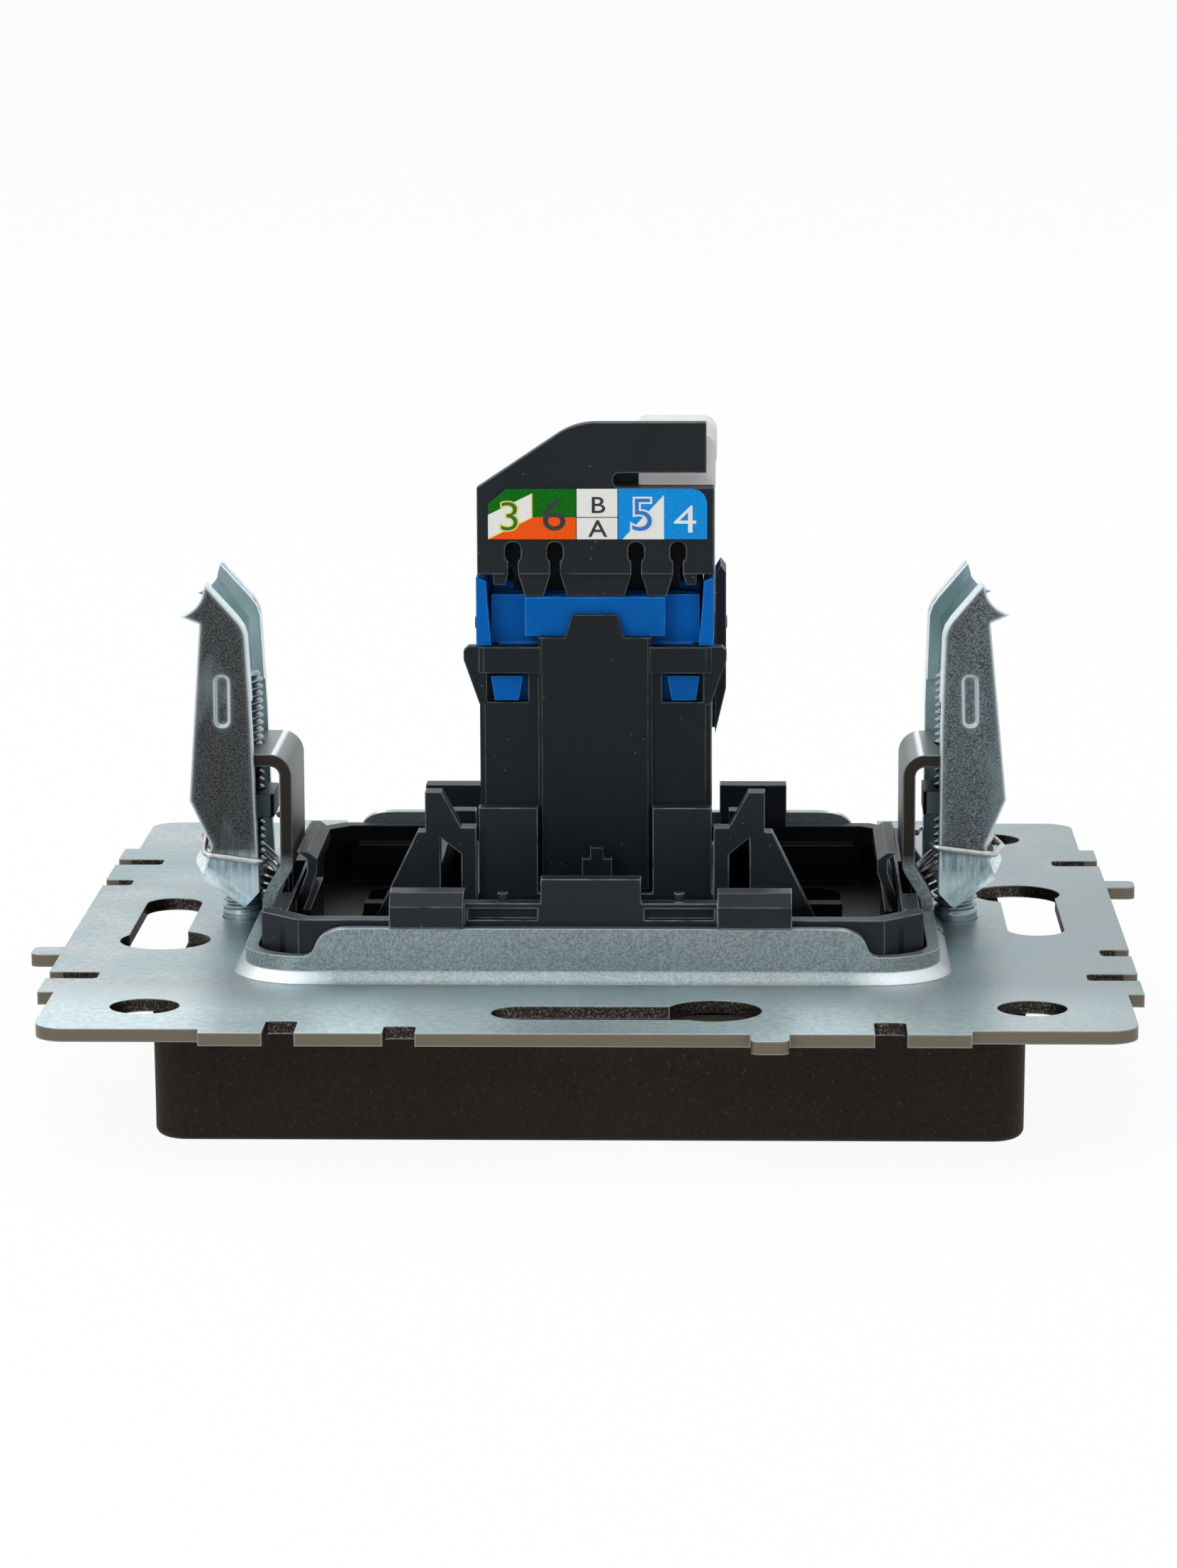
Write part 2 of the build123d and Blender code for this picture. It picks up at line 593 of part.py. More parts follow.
def carrier_shell():
    """Walls standing in the plate's opening, floor ledge, flanges and the tray below."""
    out_x = OPENING_X / 2 - CARRIER_GAP
    out_y = OPENING_Y / 2 - CARRIER_GAP
    in_x = out_x - CARRIER_WALL
    in_y = out_y - CARRIER_WALL
    floor_low = TRAY_TOP
    body = chamfered(out_x, out_y, CARRIER_CHAMFER, floor_low, RIM_NEAR)
    body -= block(-out_x - 1, out_x + 1, -in_y + CARRIER_CHAMFER, out_y + 1, RIM_FAR, RIM_NEAR + 1)
    body -= chamfered(in_x, in_y, CARRIER_CHAMFER - CARRIER_WALL / 2, floor_low + FLOOR_T, RIM_NEAR + 1)
    body += block(-RIM_MID_HALF, RIM_MID_HALF, -out_y, -in_y, floor_low, RIM_MID)
    body += block(-CENTRE_HALF, CENTRE_HALF, -out_y, -in_y, floor_low, CENTRE_TOP)
    body += block(
        -in_x + CARRIER_CHAMFER, in_x - CARRIER_CHAMFER, in_y - LEDGE, in_y + SEAT, floor_low, LEDGE_TOP)
    slit = block(
        CENTRE_HALF + PLAY, RIM_MID_HALF - PLAY, -out_y - 1, -out_y + CARRIER_WALL / 2, RIM_NEAR, RIM_MID - 0.35)
    body -= both_sides(slit)
    pin = rod((CENTRE_HALF + RIM_MID_HALF) / 2, -in_y - CARRIER_WALL / 2, RIM_MID - SEAT, RIM_MID + 0.6, 0.35)
    body += both_sides(pin)
    hook_low = COLLAR_H + SEAT
    hook = block(HOOK_IN, HOOK_OUT, -out_y - CARRIER_GAP - 1.0, -in_y, hook_low, hook_low + HOOK_H)
    hook = chamfer(hook.edges().filter_by(Axis.X).group_by(Axis.Y)[0].sort_by(Axis.Z)[-1], 0.8)
    hook = both_sides(hook + block(HOOK_IN, HOOK_OUT, -out_y, -in_y, floor_low, hook_low + SEAT))
    body += hook + mirror(hook, about=Plane.XZ)
    under = -SHEET - SEAT
    reach = OPENING_Y / 2 + SHEET + FLANGE_REACH
    body += block(-FLANGE_HALF, FLANGE_HALF, -reach, reach, under - FLANGE_T, under)
    body -= chamfered(in_x, in_y, CARRIER_CHAMFER - CARRIER_WALL / 2, floor_low + FLOOR_T, under + 1)
    side = block(
        out_x - STRAP_RECESS, out_x + 1, -STRAP_W / 2 - 0.7, STRAP_W / 2 + 0.7, floor_low - 1, RIM_NEAR)
    body -= both_sides(side)
    wall_out = out_x - STRAP_RECESS
    body += both_sides(block(
        wall_out - CARRIER_WALL, wall_out, -STRAP_W / 2 - 0.7, STRAP_W / 2 + 0.7, floor_low, LEDGE_TOP))
    tray_low = TRAY_TOP - TRAY_DEPTH
    body += rounded_prism(2 * TRAY_HALF, 2 * TRAY_HALF, COVER_CORNER_R, tray_low, TRAY_TOP + SEAT)
    inner = TRAY_HALF - CARRIER_WALL
    body -= rounded_prism(2 * inner, 2 * inner, COVER_CORNER_R, tray_low + FLOOR_T, TRAY_TOP + FLOOR_T + SEAT)
    catch = block(
        -COVER_CLIP_W / 2 - PLAY, COVER_CLIP_W / 2 + PLAY, inner - 1, TRAY_HALF + 1,
        TRAY_TOP - PLAY - 4 * COVER_CLIP_BUMP, TRAY_TOP - PLAY,
    )
    for cut in four_ways(catch):
        body -= cut
    return body


def side_clip():
    """Springy hook beside the right strap."""
    wall_in = OPENING_X / 2 - CARRIER_GAP - STRAP_RECESS - SIDE_CLIP_T
    inner = [(0, LEDGE_TOP - 0.5), (0, LEDGE_TOP), (-0.55, 3.0), (-1.0, 4.2), (-1.0, 5.1), (-0.35, 5.6)]
    outline = [(wall_in + x, z) for x, z in inner]
    outline += [(wall_in + x + SIDE_CLIP_T, z) for x, z in reversed(inner)]
    half = STRAP_W / 2 + 0.7
    return prism_xz(outline, -half, half)


def jack_holder():
    """Tube round the jack with its corner posts, braces and foot blocks."""
    fit_x = JACK_X / 2 + JACK_FIT
    fit_y = JACK_Y / 2 + JACK_FIT
    low = TRAY_TOP - TRAY_DEPTH
    tube_x = fit_x + HOLDER_WALL
    tube_y = fit_y + HOLDER_WALL
    body = block(-tube_x, tube_x, -tube_y, tube_y, low, HOLDER_TOP)
    body += both_sides(block(FOOT_IN, fit_x, -tube_y, -fit_y, low, FOOT_TOP))
    wall = TRAY_HALF - CARRIER_WALL + SEAT
    near = prism_xz(
        [(FOOT_OUT, low), (FOOT_OUT, ARM_TOP), (tube_x, ARM_TOP), (POST_AT - 0.1, POST_TOP),
         (POST_AT + POST_T, POST_TOP), (POST_AT + POST_T, BRACE_TOP), (POST_AT + POST_T + 0.5, BRACE_TOP),
         (BRACE_FOOT, LEDGE_TOP),
         (wall, LEDGE_TOP), (wall, low)],
        -tube_y - POST_DEEP / 2, -tube_y + POST_DEEP / 2,
    )
    near -= prism_xz(
        [(tube_x, LEDGE_TOP), (tube_x, ARM_TOP - 1.8), (POST_AT, ARM_TOP - 0.65), (POST_AT, LEDGE_TOP)],
        -tube_y - POST_DEEP, -tube_y + POST_DEEP,
    )
    far = block(
        tube_x - SEAT, POST_AT + POST_T, tube_y - POST_DEEP / 2, tube_y + POST_DEEP / 2, low, FAR_POST_TOP)
    far += block(tube_x - SEAT, wall, tube_y - POST_DEEP / 2, tube_y + POST_DEEP / 2, low, -SHEET)
    side = block(POST_AT, POST_AT + POST_T, -tube_y, tube_y, low, POST_WALL_TOP)
    body += both_sides(near + far + side)
    body -= block(-fit_x, fit_x, -fit_y, fit_y, low - 1, POST_TOP + 1)
    slot = LATCH_ARM_T + 2 * PLAY + LATCH_TAB_W
    body -= block(-slot / 2, slot / 2, -tube_y - POST_DEEP, -fit_y + 1, low + FLOOR_T, LATCH_ROOT_TOP + PLAY)
    return body


def carrier():
    body = carrier_shell() + both_sides(side_clip())
    fit_x = JACK_X / 2 + JACK_FIT
    fit_y = JACK_Y / 2 + JACK_FIT
    body -= block(-fit_x, fit_x, -fit_y, fit_y, TRAY_TOP - TRAY_DEPTH - 1, 0)
    return body + jack_holder()


def keystone_housing():
    """Jack shell: port in front, contact recess, flexing latch, band and ears behind."""
    half_x = JACK_X / 2
    half_y = JACK_Y / 2
    front = -JACK_FRONT
    body = block(-half_x, half_x, -half_y, half_y, front + NOSE_LONG, BAND_TOP)
    body = chamfer(body.edges().filter_by(Axis.Z), 0.35)
    nose_x = APERTURE_X / 2 - NOSE_FIT
    nose_y = half_y - NOSE_FIT
    body += block(-nose_x, nose_x, -nose_y, nose_y, front, front + NOSE_LONG + SEAT)
    ear = prism_xz(
        [(half_x - 1, BAND_LOW), (half_x, BAND_LOW), (EAR_OUT, BAND_TOP - 0.9), (EAR_OUT, BAND_TOP - 0.3),
         (EAR_OUT - 0.3, BAND_TOP), (half_x - 1, BAND_TOP)],
        -half_y, -half_y + EAR_T,
    )
    band = block(-half_x, half_x, -half_y - LIP_OUT, -half_y + SEAT, LIP_LOW, BAND_TOP)
    band = chamfer(band.edges().filter_by(Axis.Z).group_by(Axis.Y)[0], LIP_OUT * 0.7)
    panel = block(-PANEL_HALF, PANEL_HALF, -half_y - PANEL_OUT, -half_y + SEAT, PANEL_LOW, BAND_TOP + 0.67)
    panel += prism_xz(
        [(-PANEL_NECK_HALF, BAND_TOP), (PANEL_NECK_HALF, BAND_TOP), (PANEL_PEAK_HALF, PANEL_PEAK),
         (-PANEL_PEAK_HALF, PANEL_PEAK)],
        -half_y - PANEL_OUT, -half_y + SEAT,
    )
    edge = panel.edges().filter_by(Axis.Z).group_by(Axis.Y)[0]
    panel = chamfer(edge, PANEL_OUT * 0.4)
    for feature in (both_sides(ear), band, panel):
        body += feature
        body += mirror(feature, about=Plane.XZ)
    rear_x = half_x - JACK_WALL
    rear_y = half_y - JACK_WALL
    body -= block(-rear_x, rear_x, -rear_y, rear_y, BOARD_Z, BAND_TOP + 1)
    ledge = rear_x - 1.0
    body -= block(-ledge, ledge, -rear_y + 1, rear_y - 1, BOARD_Z - 1.2, BOARD_Z + 1)
    y0 = PORT_SHIFT - PORT_Y / 2
    y1 = PORT_SHIFT + PORT_Y / 2
    port = block(-PORT_X / 2, PORT_X / 2, y0, y1, front - 1, front + PORT_DEEP)
    key = block(-KEY_W / 2, KEY_W / 2, y1 - 1, y1 + KEY_Y, front - 1, front + PORT_DEEP)
    body -= port + key
    body -= block(-RECESS_HALF, RECESS_HALF, y0 - COMB_DEEP, y0 + 1, front + 2.2, BOARD_Z)
    window = both_sides(block(WINDOW_IN, WINDOW_OUT, -half_y - 1, -rear_y + SEAT, WINDOW_LOW, WINDOW_TOP))
    body -= window
    body -= mirror(window, about=Plane.XZ)
    at = LATCH_AT
    arm_out = -half_y - LATCH_OFF - LATCH_ARM_T
    arm = block(
        at - LATCH_TAB_W / 2, at + LATCH_TAB_W / 2, arm_out, arm_out + LATCH_ARM_T, LATCH_ROOT_LOW, LATCH_TAB_TOP)
    arm += block(
        at - LATCH_TAB_W / 2, at + LATCH_TAB_W / 2, arm_out, -half_y + SEAT, LATCH_ROOT_LOW, LATCH_ROOT_TOP)
    arm += block(
        at - LATCH_NUB_W / 2, at + LATCH_NUB_W / 2, arm_out, arm_out + LATCH_ARM_T,
        LATCH_TAB_TOP - SEAT, LATCH_TAB_TOP + LATCH_NUB_H,
    )
    return body + arm


def blade_places():
    """Plan positions of the terminals: under every wire slot, near and far."""
    return [(x, y) for y in (-BLADE_AT, BLADE_AT) for x in WIRE_SLOTS]


def circuit_board():
    half_x = JACK_X / 2 - JACK_WALL - BOARD_FIT
    half_y = JACK_Y / 2 - JACK_WALL - BOARD_FIT
    low = BOARD_Z + SEAT
    body = block(-half_x, half_x, -half_y, half_y, low, low + BOARD_T)
    for x, y in blade_places():
        body -= rod(x, y, low - 1, low + BOARD_T + 1, LEG_W * 0.71 + SEAT)
    return body


def comb_places():
    """Positions of the eight jack contacts across the port."""
    first = -(CONTACTS - 1) / 2 * CONTACT_PITCH
    return [first + turn * CONTACT_PITCH for turn in range(CONTACTS)]


def jack_insert():
    """Comb behind the port that keeps the eight contacts apart."""
    y0 = PORT_SHIFT - PORT_Y / 2
    low = -JACK_FRONT + PORT_DEEP - COMB_OVERLAP
    body = block(-RECESS_HALF + SEAT, RECESS_HALF - SEAT, y0 - COMB_DEEP + SEAT, y0 - SEAT, low, BOARD_Z)
    for x in comb_places():
        half = CONTACT_W / 2 + SEAT
        body -= block(x - half, x + half, y0 - COMB_DEEP + SEAT - 1, CONTACT_Y + half, low - 1, BOARD_Z + 1)
    return body


def jack_contacts():
    """Eight bent wires: up through the comb, hairpin at the mouth, springing back into the port."""
    y0 = PORT_SHIFT - PORT_Y / 2
    front = -JACK_FRONT
    wires = []
    for x in comb_places():
        line = FilletPolyline(
            (x, CONTACT_Y, BOARD_Z - SEAT / 2), (x, CONTACT_Y, front + 2.8), (x, y0 + 1.9, front + 10.6),
            (x, y0 + 1.2, front + 12.4),
            radius=[0.5, 0.6],
        )
        section = Plane(origin=line @ 0, z_dir=line % 0) * Rectangle(CONTACT_W, CONTACT_W)
        wires.append(sweep(section, path=line))
    return Compound(children=wires)


def idc_contacts(side):
    """Four forked blades on legs through the board, near (-1) or far (1)."""
    y = side * BLADE_AT
    blades = []
    foot = BOARD_Z + SEAT + BOARD_T + SEAT
    for x in WIRE_SLOTS:
        blade = block(x - BLADE_W / 2, x + BLADE_W / 2, y - BLADE_T / 2, y + BLADE_T / 2, foot, BLADE_TOP)
        mouth = BLADE_TOP - BLADE_SLOT_H
        blade -= block(x - BLADE_SLOT_W / 2, x + BLADE_SLOT_W / 2, y - 1, y + 1, mouth, BLADE_TOP + 1)
        blade -= prism_xz(
            [(x - BLADE_W * 0.32, BLADE_TOP + SEAT), (x + BLADE_W * 0.32, BLADE_TOP + SEAT),
             (x, BLADE_TOP - BLADE_W * 0.5)],
            y - 1, y + 1,
        )
        blade += block(
            x - LEG_W / 2, x + LEG_W / 2, y - LEG_W / 2, y + LEG_W / 2, BOARD_Z + 2 * SEAT, foot + SEAT)
        blades.append(blade)
    return Compound(children=blades)


def idc_body():
    """Blue terminal moulding: plug in the housing, columns, centre block and cable fin."""
    half_x = JACK_X / 2 + PLAY
    fit_x = JACK_X / 2 - JACK_WALL - BOARD_FIT
    fit_y = JACK_Y / 2 - JACK_WALL - BOARD_FIT
    deep = JACK_Y / 2 - 0.1
    rest = BAND_TOP + SEAT
    body = block(-fit_x, fit_x, -fit_y, fit_y, PLUG_LOW, rest + SEAT)
    body += block(
        -half_x + COLUMN_W, half_x - COLUMN_W, -deep + BODY_INSET, deep - BODY_INSET, rest, BLOCK_TOP)
    column = prism_xz(
        [(half_x - COLUMN_W - SEAT, rest), (half_x, rest), (half_x, BODY_TOP),
         (half_x - COLUMN_W * 0.7, BODY_TOP - 0.25),
         (half_x - COLUMN_W * 0.78, BLOCK_TOP - 0.3)],
        -deep, deep,
    )
    body += both_sides(column)
    inner_deep = JACK_Y / 2 - 0.1
    body += block(-BLOCK_HALF, BLOCK_HALF, -inner_deep, inner_deep, rest + 0.65, BLOCK_TOP)
    body += block(-FIN_HALF, FIN_HALF, FIN_Y - FIN_T / 2, FIN_Y + FIN_T / 2, BLOCK_TOP - SEAT, FIN_TOP)
    for x, y in blade_places():
        body -= block(
            x - BLADE_W / 2 - SEAT, x + BLADE_W / 2 + SEAT, y - BLADE_T / 2 - SEAT, y + BLADE_T / 2 + SEAT,
            PLUG_LOW - 1, BODY_TOP + 1,
        )
        half = WIRE_SLOT_W / 2
        body -= block(x - half, x + half, y - WIRE_CUT, y + WIRE_CUT, BLOCK_TOP - 1.6, BODY_TOP + 1)
    tab = prism_xz(
        [(WINDOW_IN + 0.35, WINDOW_TOP - PLAY), (WINDOW_OUT - 0.25, WINDOW_TOP - PLAY),
         (WINDOW_OUT - 0.5, WINDOW_LOW + PLAY / 2),
         (WINDOW_IN + 0.65, WINDOW_LOW + PLAY / 2)],
        -JACK_Y / 2 + 0.15, -fit_y - BOARD_FIT - SEAT,
    )
    tab += block(
        WINDOW_IN + 0.7, fit_x - 0.3, -fit_y - BOARD_FIT - 2 * SEAT, -fit_y + SEAT, WINDOW_LOW + PLAY, WINDOW_TOP - PLAY)
    tab = both_sides(tab)
    body += tab
    body += mirror(tab, about=Plane.XZ)
    return body


def cap_wall():
    """Near or far wall of the wire cap, drawn on the near side, with its keyhole slots."""
    outer = JACK_Y / 2
    y0 = -outer
    y1 = -outer + CAP_WALL
    body = block(-CAP_LEFT, CAP_RIGHT, y0, y1, CAP_EDGE_Z, CAP_TOP_Z)
    tooth_out = JACK_X / 2 + PLAY - COLUMN_W - PLAY
    shoulder = (CAP_TOOTH_Z + CAP_EDGE_Z) / 2
    teeth = block(-TOOTH_OUT, TOOTH_OUT, y0 + 0.3, y1, CAP_TOOTH_Z, CAP_EDGE_Z + SEAT)
    teeth = fillet(teeth.edges().filter_by(Axis.Y).group_by(Axis.Z)[0], 0.35)
    body += teeth + block(-tooth_out, tooth_out, y0 + 0.3, y1, shoulder, CAP_EDGE_Z + SEAT)
    for x in WIRE_SLOTS:
        half = WIRE_SLOT_W / 2
        throat = block(
            x - half * 0.62, x + half * 0.62, y0 - 1, y1 + 1, CAP_TOOTH_Z - 1, WIRE_SLOT_THROAT + half)
        hole = block(x - half, x + half, y0 - 1, y1 + 1, WIRE_SLOT_THROAT, WIRE_SLOT_TOP)
        hole = fillet(hole.edges().filter_by(Axis.Y), half * 0.9)
        flare = prism_xz(
            [(x - half * 1.5, CAP_TOOTH_Z - SEAT), (x + half * 1.5, CAP_TOOTH_Z - SEAT),
             (x + half * 0.6, CAP_EDGE_Z), (x - half * 0.6, CAP_EDGE_Z)],
            y0 - 1, y1 + 1,
        )
        body -= throat
        body -= hole
        body -= flare
    return body


def wire_cap():
    """Black cap: slotted walls, pierced roof and the tall blade on its near wall."""
    outer = JACK_Y / 2
    body = cap_wall()
    body += mirror(cap_wall(), about=Plane.XZ)
    body += block(-CAP_LEFT, -CAP_LEFT + CAP_WALL, -outer, outer, CAP_EDGE_Z, CAP_TOP_Z)
    body += block(CAP_RIGHT - CAP_WALL, CAP_RIGHT, -outer, outer, CAP_EDGE_Z, CAP_TOP_Z)
    roof = block(-CAP_LEFT, CAP_RIGHT, -outer, outer, CAP_TOP_Z - CAP_ROOF_T, CAP_TOP_Z)
    hole = block(-CABLE_LEFT, CABLE_RIGHT, -CABLE_NEAR, CABLE_FAR, CAP_TOP_Z - 2, CAP_TOP_Z + 1)
    roof -= fillet(hole.edges().filter_by(Axis.Z), 0.3)
    body += roof
    for y in (DIVIDER_NEAR, DIVIDER_FAR):
        body += block(
            -CAP_LEFT + CAP_WALL - SEAT, CAP_RIGHT - CAP_WALL + SEAT,
            y, y + DIVIDER_T, CAP_EDGE_Z - SEAT, DIVIDER_TOP,
        )
        body += block(-TOOTH_OUT, TOOTH_OUT, y, y + DIVIDER_T, CAP_TOOTH_Z, CAP_EDGE_Z)
    right = CAP_RIGHT - CAP_STEP
    top = FilletPolyline(
        (-CAP_LEFT, -outer, CAP_TOP_Z), (CAP_SLOPE_TO, -outer, CAP_PEAK_Z), (right, -outer, CAP_PEAK_Z),
        radius=CAP_SLOPE_R,
    )
    blade = Curve() + [
        top,
        Line((right, -outer, CAP_PEAK_Z), (right, -outer, CAP_TOP_Z - SEAT)),
        Line((right, -outer, CAP_TOP_Z - SEAT), (-CAP_LEFT, -outer, CAP_TOP_Z - SEAT)),
        Line((-CAP_LEFT, -outer, CAP_TOP_Z - SEAT), (-CAP_LEFT, -outer, CAP_TOP_Z)),
    ]
    sheet = extrude(make_face(blade), amount=CAP_WALL, dir=(0, 1, 0))
    slit = block(CAP_SLOT_IN, CAP_RIGHT + 1, -outer - 1, -outer + CAP_WALL + 1, CAP_TOP_Z, CAP_SLOT_TOP)
    slit = fillet(slit.edges().filter_by(Axis.Y).group_by(Axis.X)[0], (CAP_SLOT_TOP - CAP_TOP_Z) * 0.49)
    sheet -= slit
    return body + sheet


def label(side):
    """Wiring label stuck on the near (-1) or far (1) wall of the cap."""
    y = -JACK_Y / 2 - SEAT / 2
    outline = [
        (-LABEL_LEFT, LABEL_LOW), (LABEL_RIGHT, LABEL_LOW), (LABEL_RIGHT, LABEL_TOP),
        (-LABEL_LEFT + 1.2, LABEL_TOP),
        (-LABEL_LEFT, LABEL_TOP - 1.0),
    ]
    sheet = prism_xz(outline, y - LABEL_T, y)
    corner = sheet.edges().filter_by(Axis.Y).group_by(Axis.X)[-1].sort_by(Axis.Z)[-1]
    sheet = fillet(corner, 1.0)
    return sheet if side < 0 else mirror(sheet, about=Plane.XZ)


def wire_guide():
    """Translucent C-shaped clip standing on the cap behind the blade."""
    low = CAP_TOP_Z + SEAT
    face = FilletPolyline(
        (GUIDE_LEFT, 0, low), (GUIDE_RIGHT, 0, low), (GUIDE_RIGHT, 0, GUIDE_TOP), (GUIDE_LEFT, 0, GUIDE_TOP),
        (GUIDE_LEFT, 0, GUIDE_TOP - 1.2),
        radius=[1.0, 1.0, 0.5],
    )
    profile = make_face(offset(face, amount=GUIDE_T, side=Side.LEFT))
    return extrude(Pos(0, GUIDE_FRONT, 0) * profile, amount=GUIDE_BACK - GUIDE_FRONT, dir=(0, 1, 0))


def side_latch():
    """Flat strip down the right side, pointed above, tapering to the housing wall below."""
    inner = JACK_X / 2 + PLAY + SEAT
    outer = inner + LATCH_T
    middle = inner + LATCH_T / 2
    strip = prism_xz(
        [(inner, LATCH_LOW), (outer, LATCH_LOW + 3.2), (outer, LATCH_TOP - 0.5),
         (middle, LATCH_TOP), (inner, LATCH_TOP - 0.6)],
        LATCH_NEAR, LATCH_NEAR + LATCH_W,
    )
    low = LATCH_LOW + 0.4
    pad = block(JACK_X / 2 + SEAT, inner + SEAT, LATCH_NEAR + 0.6, LATCH_NEAR + LATCH_W - 0.6, low, low + 4)
    return strip + pad


PARTS = {
    "mounting_plate": mounting_plate(),
    "claw_left": claw(-1),
    "claw_right": claw(1),
    "claw_screw_left": claw_screw(-1),
    "claw_screw_right": claw_screw(1),
    "claw_nut_left": claw_nut(-1),
    "claw_nut_right": claw_nut(1),
    "return_spring_left": return_spring(-1),
    "return_spring_right": return_spring(1),
    "cover": cover(),
    "carrier": carrier(),
    "keystone_housing": keystone_housing(),
    "circuit_board": circuit_board(),
    "jack_insert": jack_insert(),
    "jack_contacts": jack_contacts(),
    "idc_body": idc_body(),
    "idc_contacts_near": idc_contacts(-1),
    "idc_contacts_far": idc_contacts(1),
    "wire_cap": wire_cap(),
    "wire_guide": wire_guide(),
    "label_near": label(-1),
    "label_far": label(1),
    "side_latch": side_latch(),
}

os.makedirs("parts", exist_ok=True)
for node, shape in PARTS.items():
    export_step(shape, f"parts/{node}.step")
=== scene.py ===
"""Looks for the flush data socket: a wall plate with fixing claws, lying on its front cover.

Metres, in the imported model's frame: the plate's wall side is at Z = 0 and faces up. The outlines of
new pieces, the screws and the printed marks are given in millimetres.
"""
import json
import math

import bmesh
import bpy
import numpy as np
from mathutils import Matrix, Vector


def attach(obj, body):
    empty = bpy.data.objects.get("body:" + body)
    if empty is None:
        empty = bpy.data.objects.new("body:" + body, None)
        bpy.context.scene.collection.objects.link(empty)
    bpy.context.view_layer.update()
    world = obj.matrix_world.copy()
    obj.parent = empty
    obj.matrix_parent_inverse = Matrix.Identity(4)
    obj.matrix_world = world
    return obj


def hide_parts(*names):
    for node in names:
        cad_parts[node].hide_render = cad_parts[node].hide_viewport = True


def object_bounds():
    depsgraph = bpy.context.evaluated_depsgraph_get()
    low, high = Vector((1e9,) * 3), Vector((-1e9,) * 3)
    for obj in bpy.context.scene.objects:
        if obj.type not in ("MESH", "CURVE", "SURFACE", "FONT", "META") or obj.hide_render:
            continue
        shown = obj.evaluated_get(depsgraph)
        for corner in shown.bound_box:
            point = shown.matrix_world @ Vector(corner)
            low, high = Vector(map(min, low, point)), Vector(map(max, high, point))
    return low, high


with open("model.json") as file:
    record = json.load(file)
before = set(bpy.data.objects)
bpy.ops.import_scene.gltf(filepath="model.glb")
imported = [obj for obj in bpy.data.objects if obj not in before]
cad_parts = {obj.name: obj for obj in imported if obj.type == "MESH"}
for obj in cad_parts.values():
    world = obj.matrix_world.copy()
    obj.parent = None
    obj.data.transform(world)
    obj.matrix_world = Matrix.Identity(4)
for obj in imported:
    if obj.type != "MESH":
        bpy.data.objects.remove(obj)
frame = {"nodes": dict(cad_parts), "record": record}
CAD_BOX = [list(corner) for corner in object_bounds()]
MM = 0.001
BODY_OF = {node: body for body, nodes in frame["record"]["behaviour"]["bodies"].items() for node in nodes}

CARRIER_X, CARRIER_Y = 20.3 * MM, 18.9 * MM   # half the room between the carrier's walls
LABEL_Y = 8.14           # faces of the labels, from the middle
LABEL_LOW = 27.2         # lower edge of the labels
SCREW_X = 24.4           # middle of the claw screws


# Shader expressions

EDGE_ROUNDING = 0.12 * MM
EDGE_TURN = (0.01, 0.16)   # how far rounding has turned the surface where an edge starts and is full


class Value:
    """A shader socket. Sums, products and comparisons of it add their Math nodes."""

    def __init__(self, paint, socket):
        self.paint = paint
        self.socket = socket

    def math(self, operation, *others, clamp=False):
        node = self.paint.tree.nodes.new("ShaderNodeMath")
        node.operation = operation
        node.use_clamp = clamp
        for slot, value in zip(node.inputs, (self, *others)):
            self.paint.put(slot, value)
        return Value(self.paint, node.outputs[0])

    def __add__(self, other):
        return self.math("ADD", other)

    def __sub__(self, other):
        return self.math("SUBTRACT", other)

    def __rsub__(self, other):
        return (self * -1).math("ADD", other)

    def __mul__(self, other):
        return self.math("MULTIPLY", other)

    def __truediv__(self, other):
        return self.math("DIVIDE", other)

    def __lt__(self, other):
        return self.math("LESS_THAN", other)

    def __gt__(self, other):
        return self.math("GREATER_THAN", other)

    __radd__ = __add__
    __rmul__ = __mul__

    def max(self, other):
        return self.math("MAXIMUM", other)

    def size(self):
        return self.math("ABSOLUTE")

    def ramp(self, low, high):
        """0 at low, 1 at high, straight between and flat beyond; high may be the smaller one."""
        return ((self - low) / (high - low)).math("ADD", 0, clamp=True)


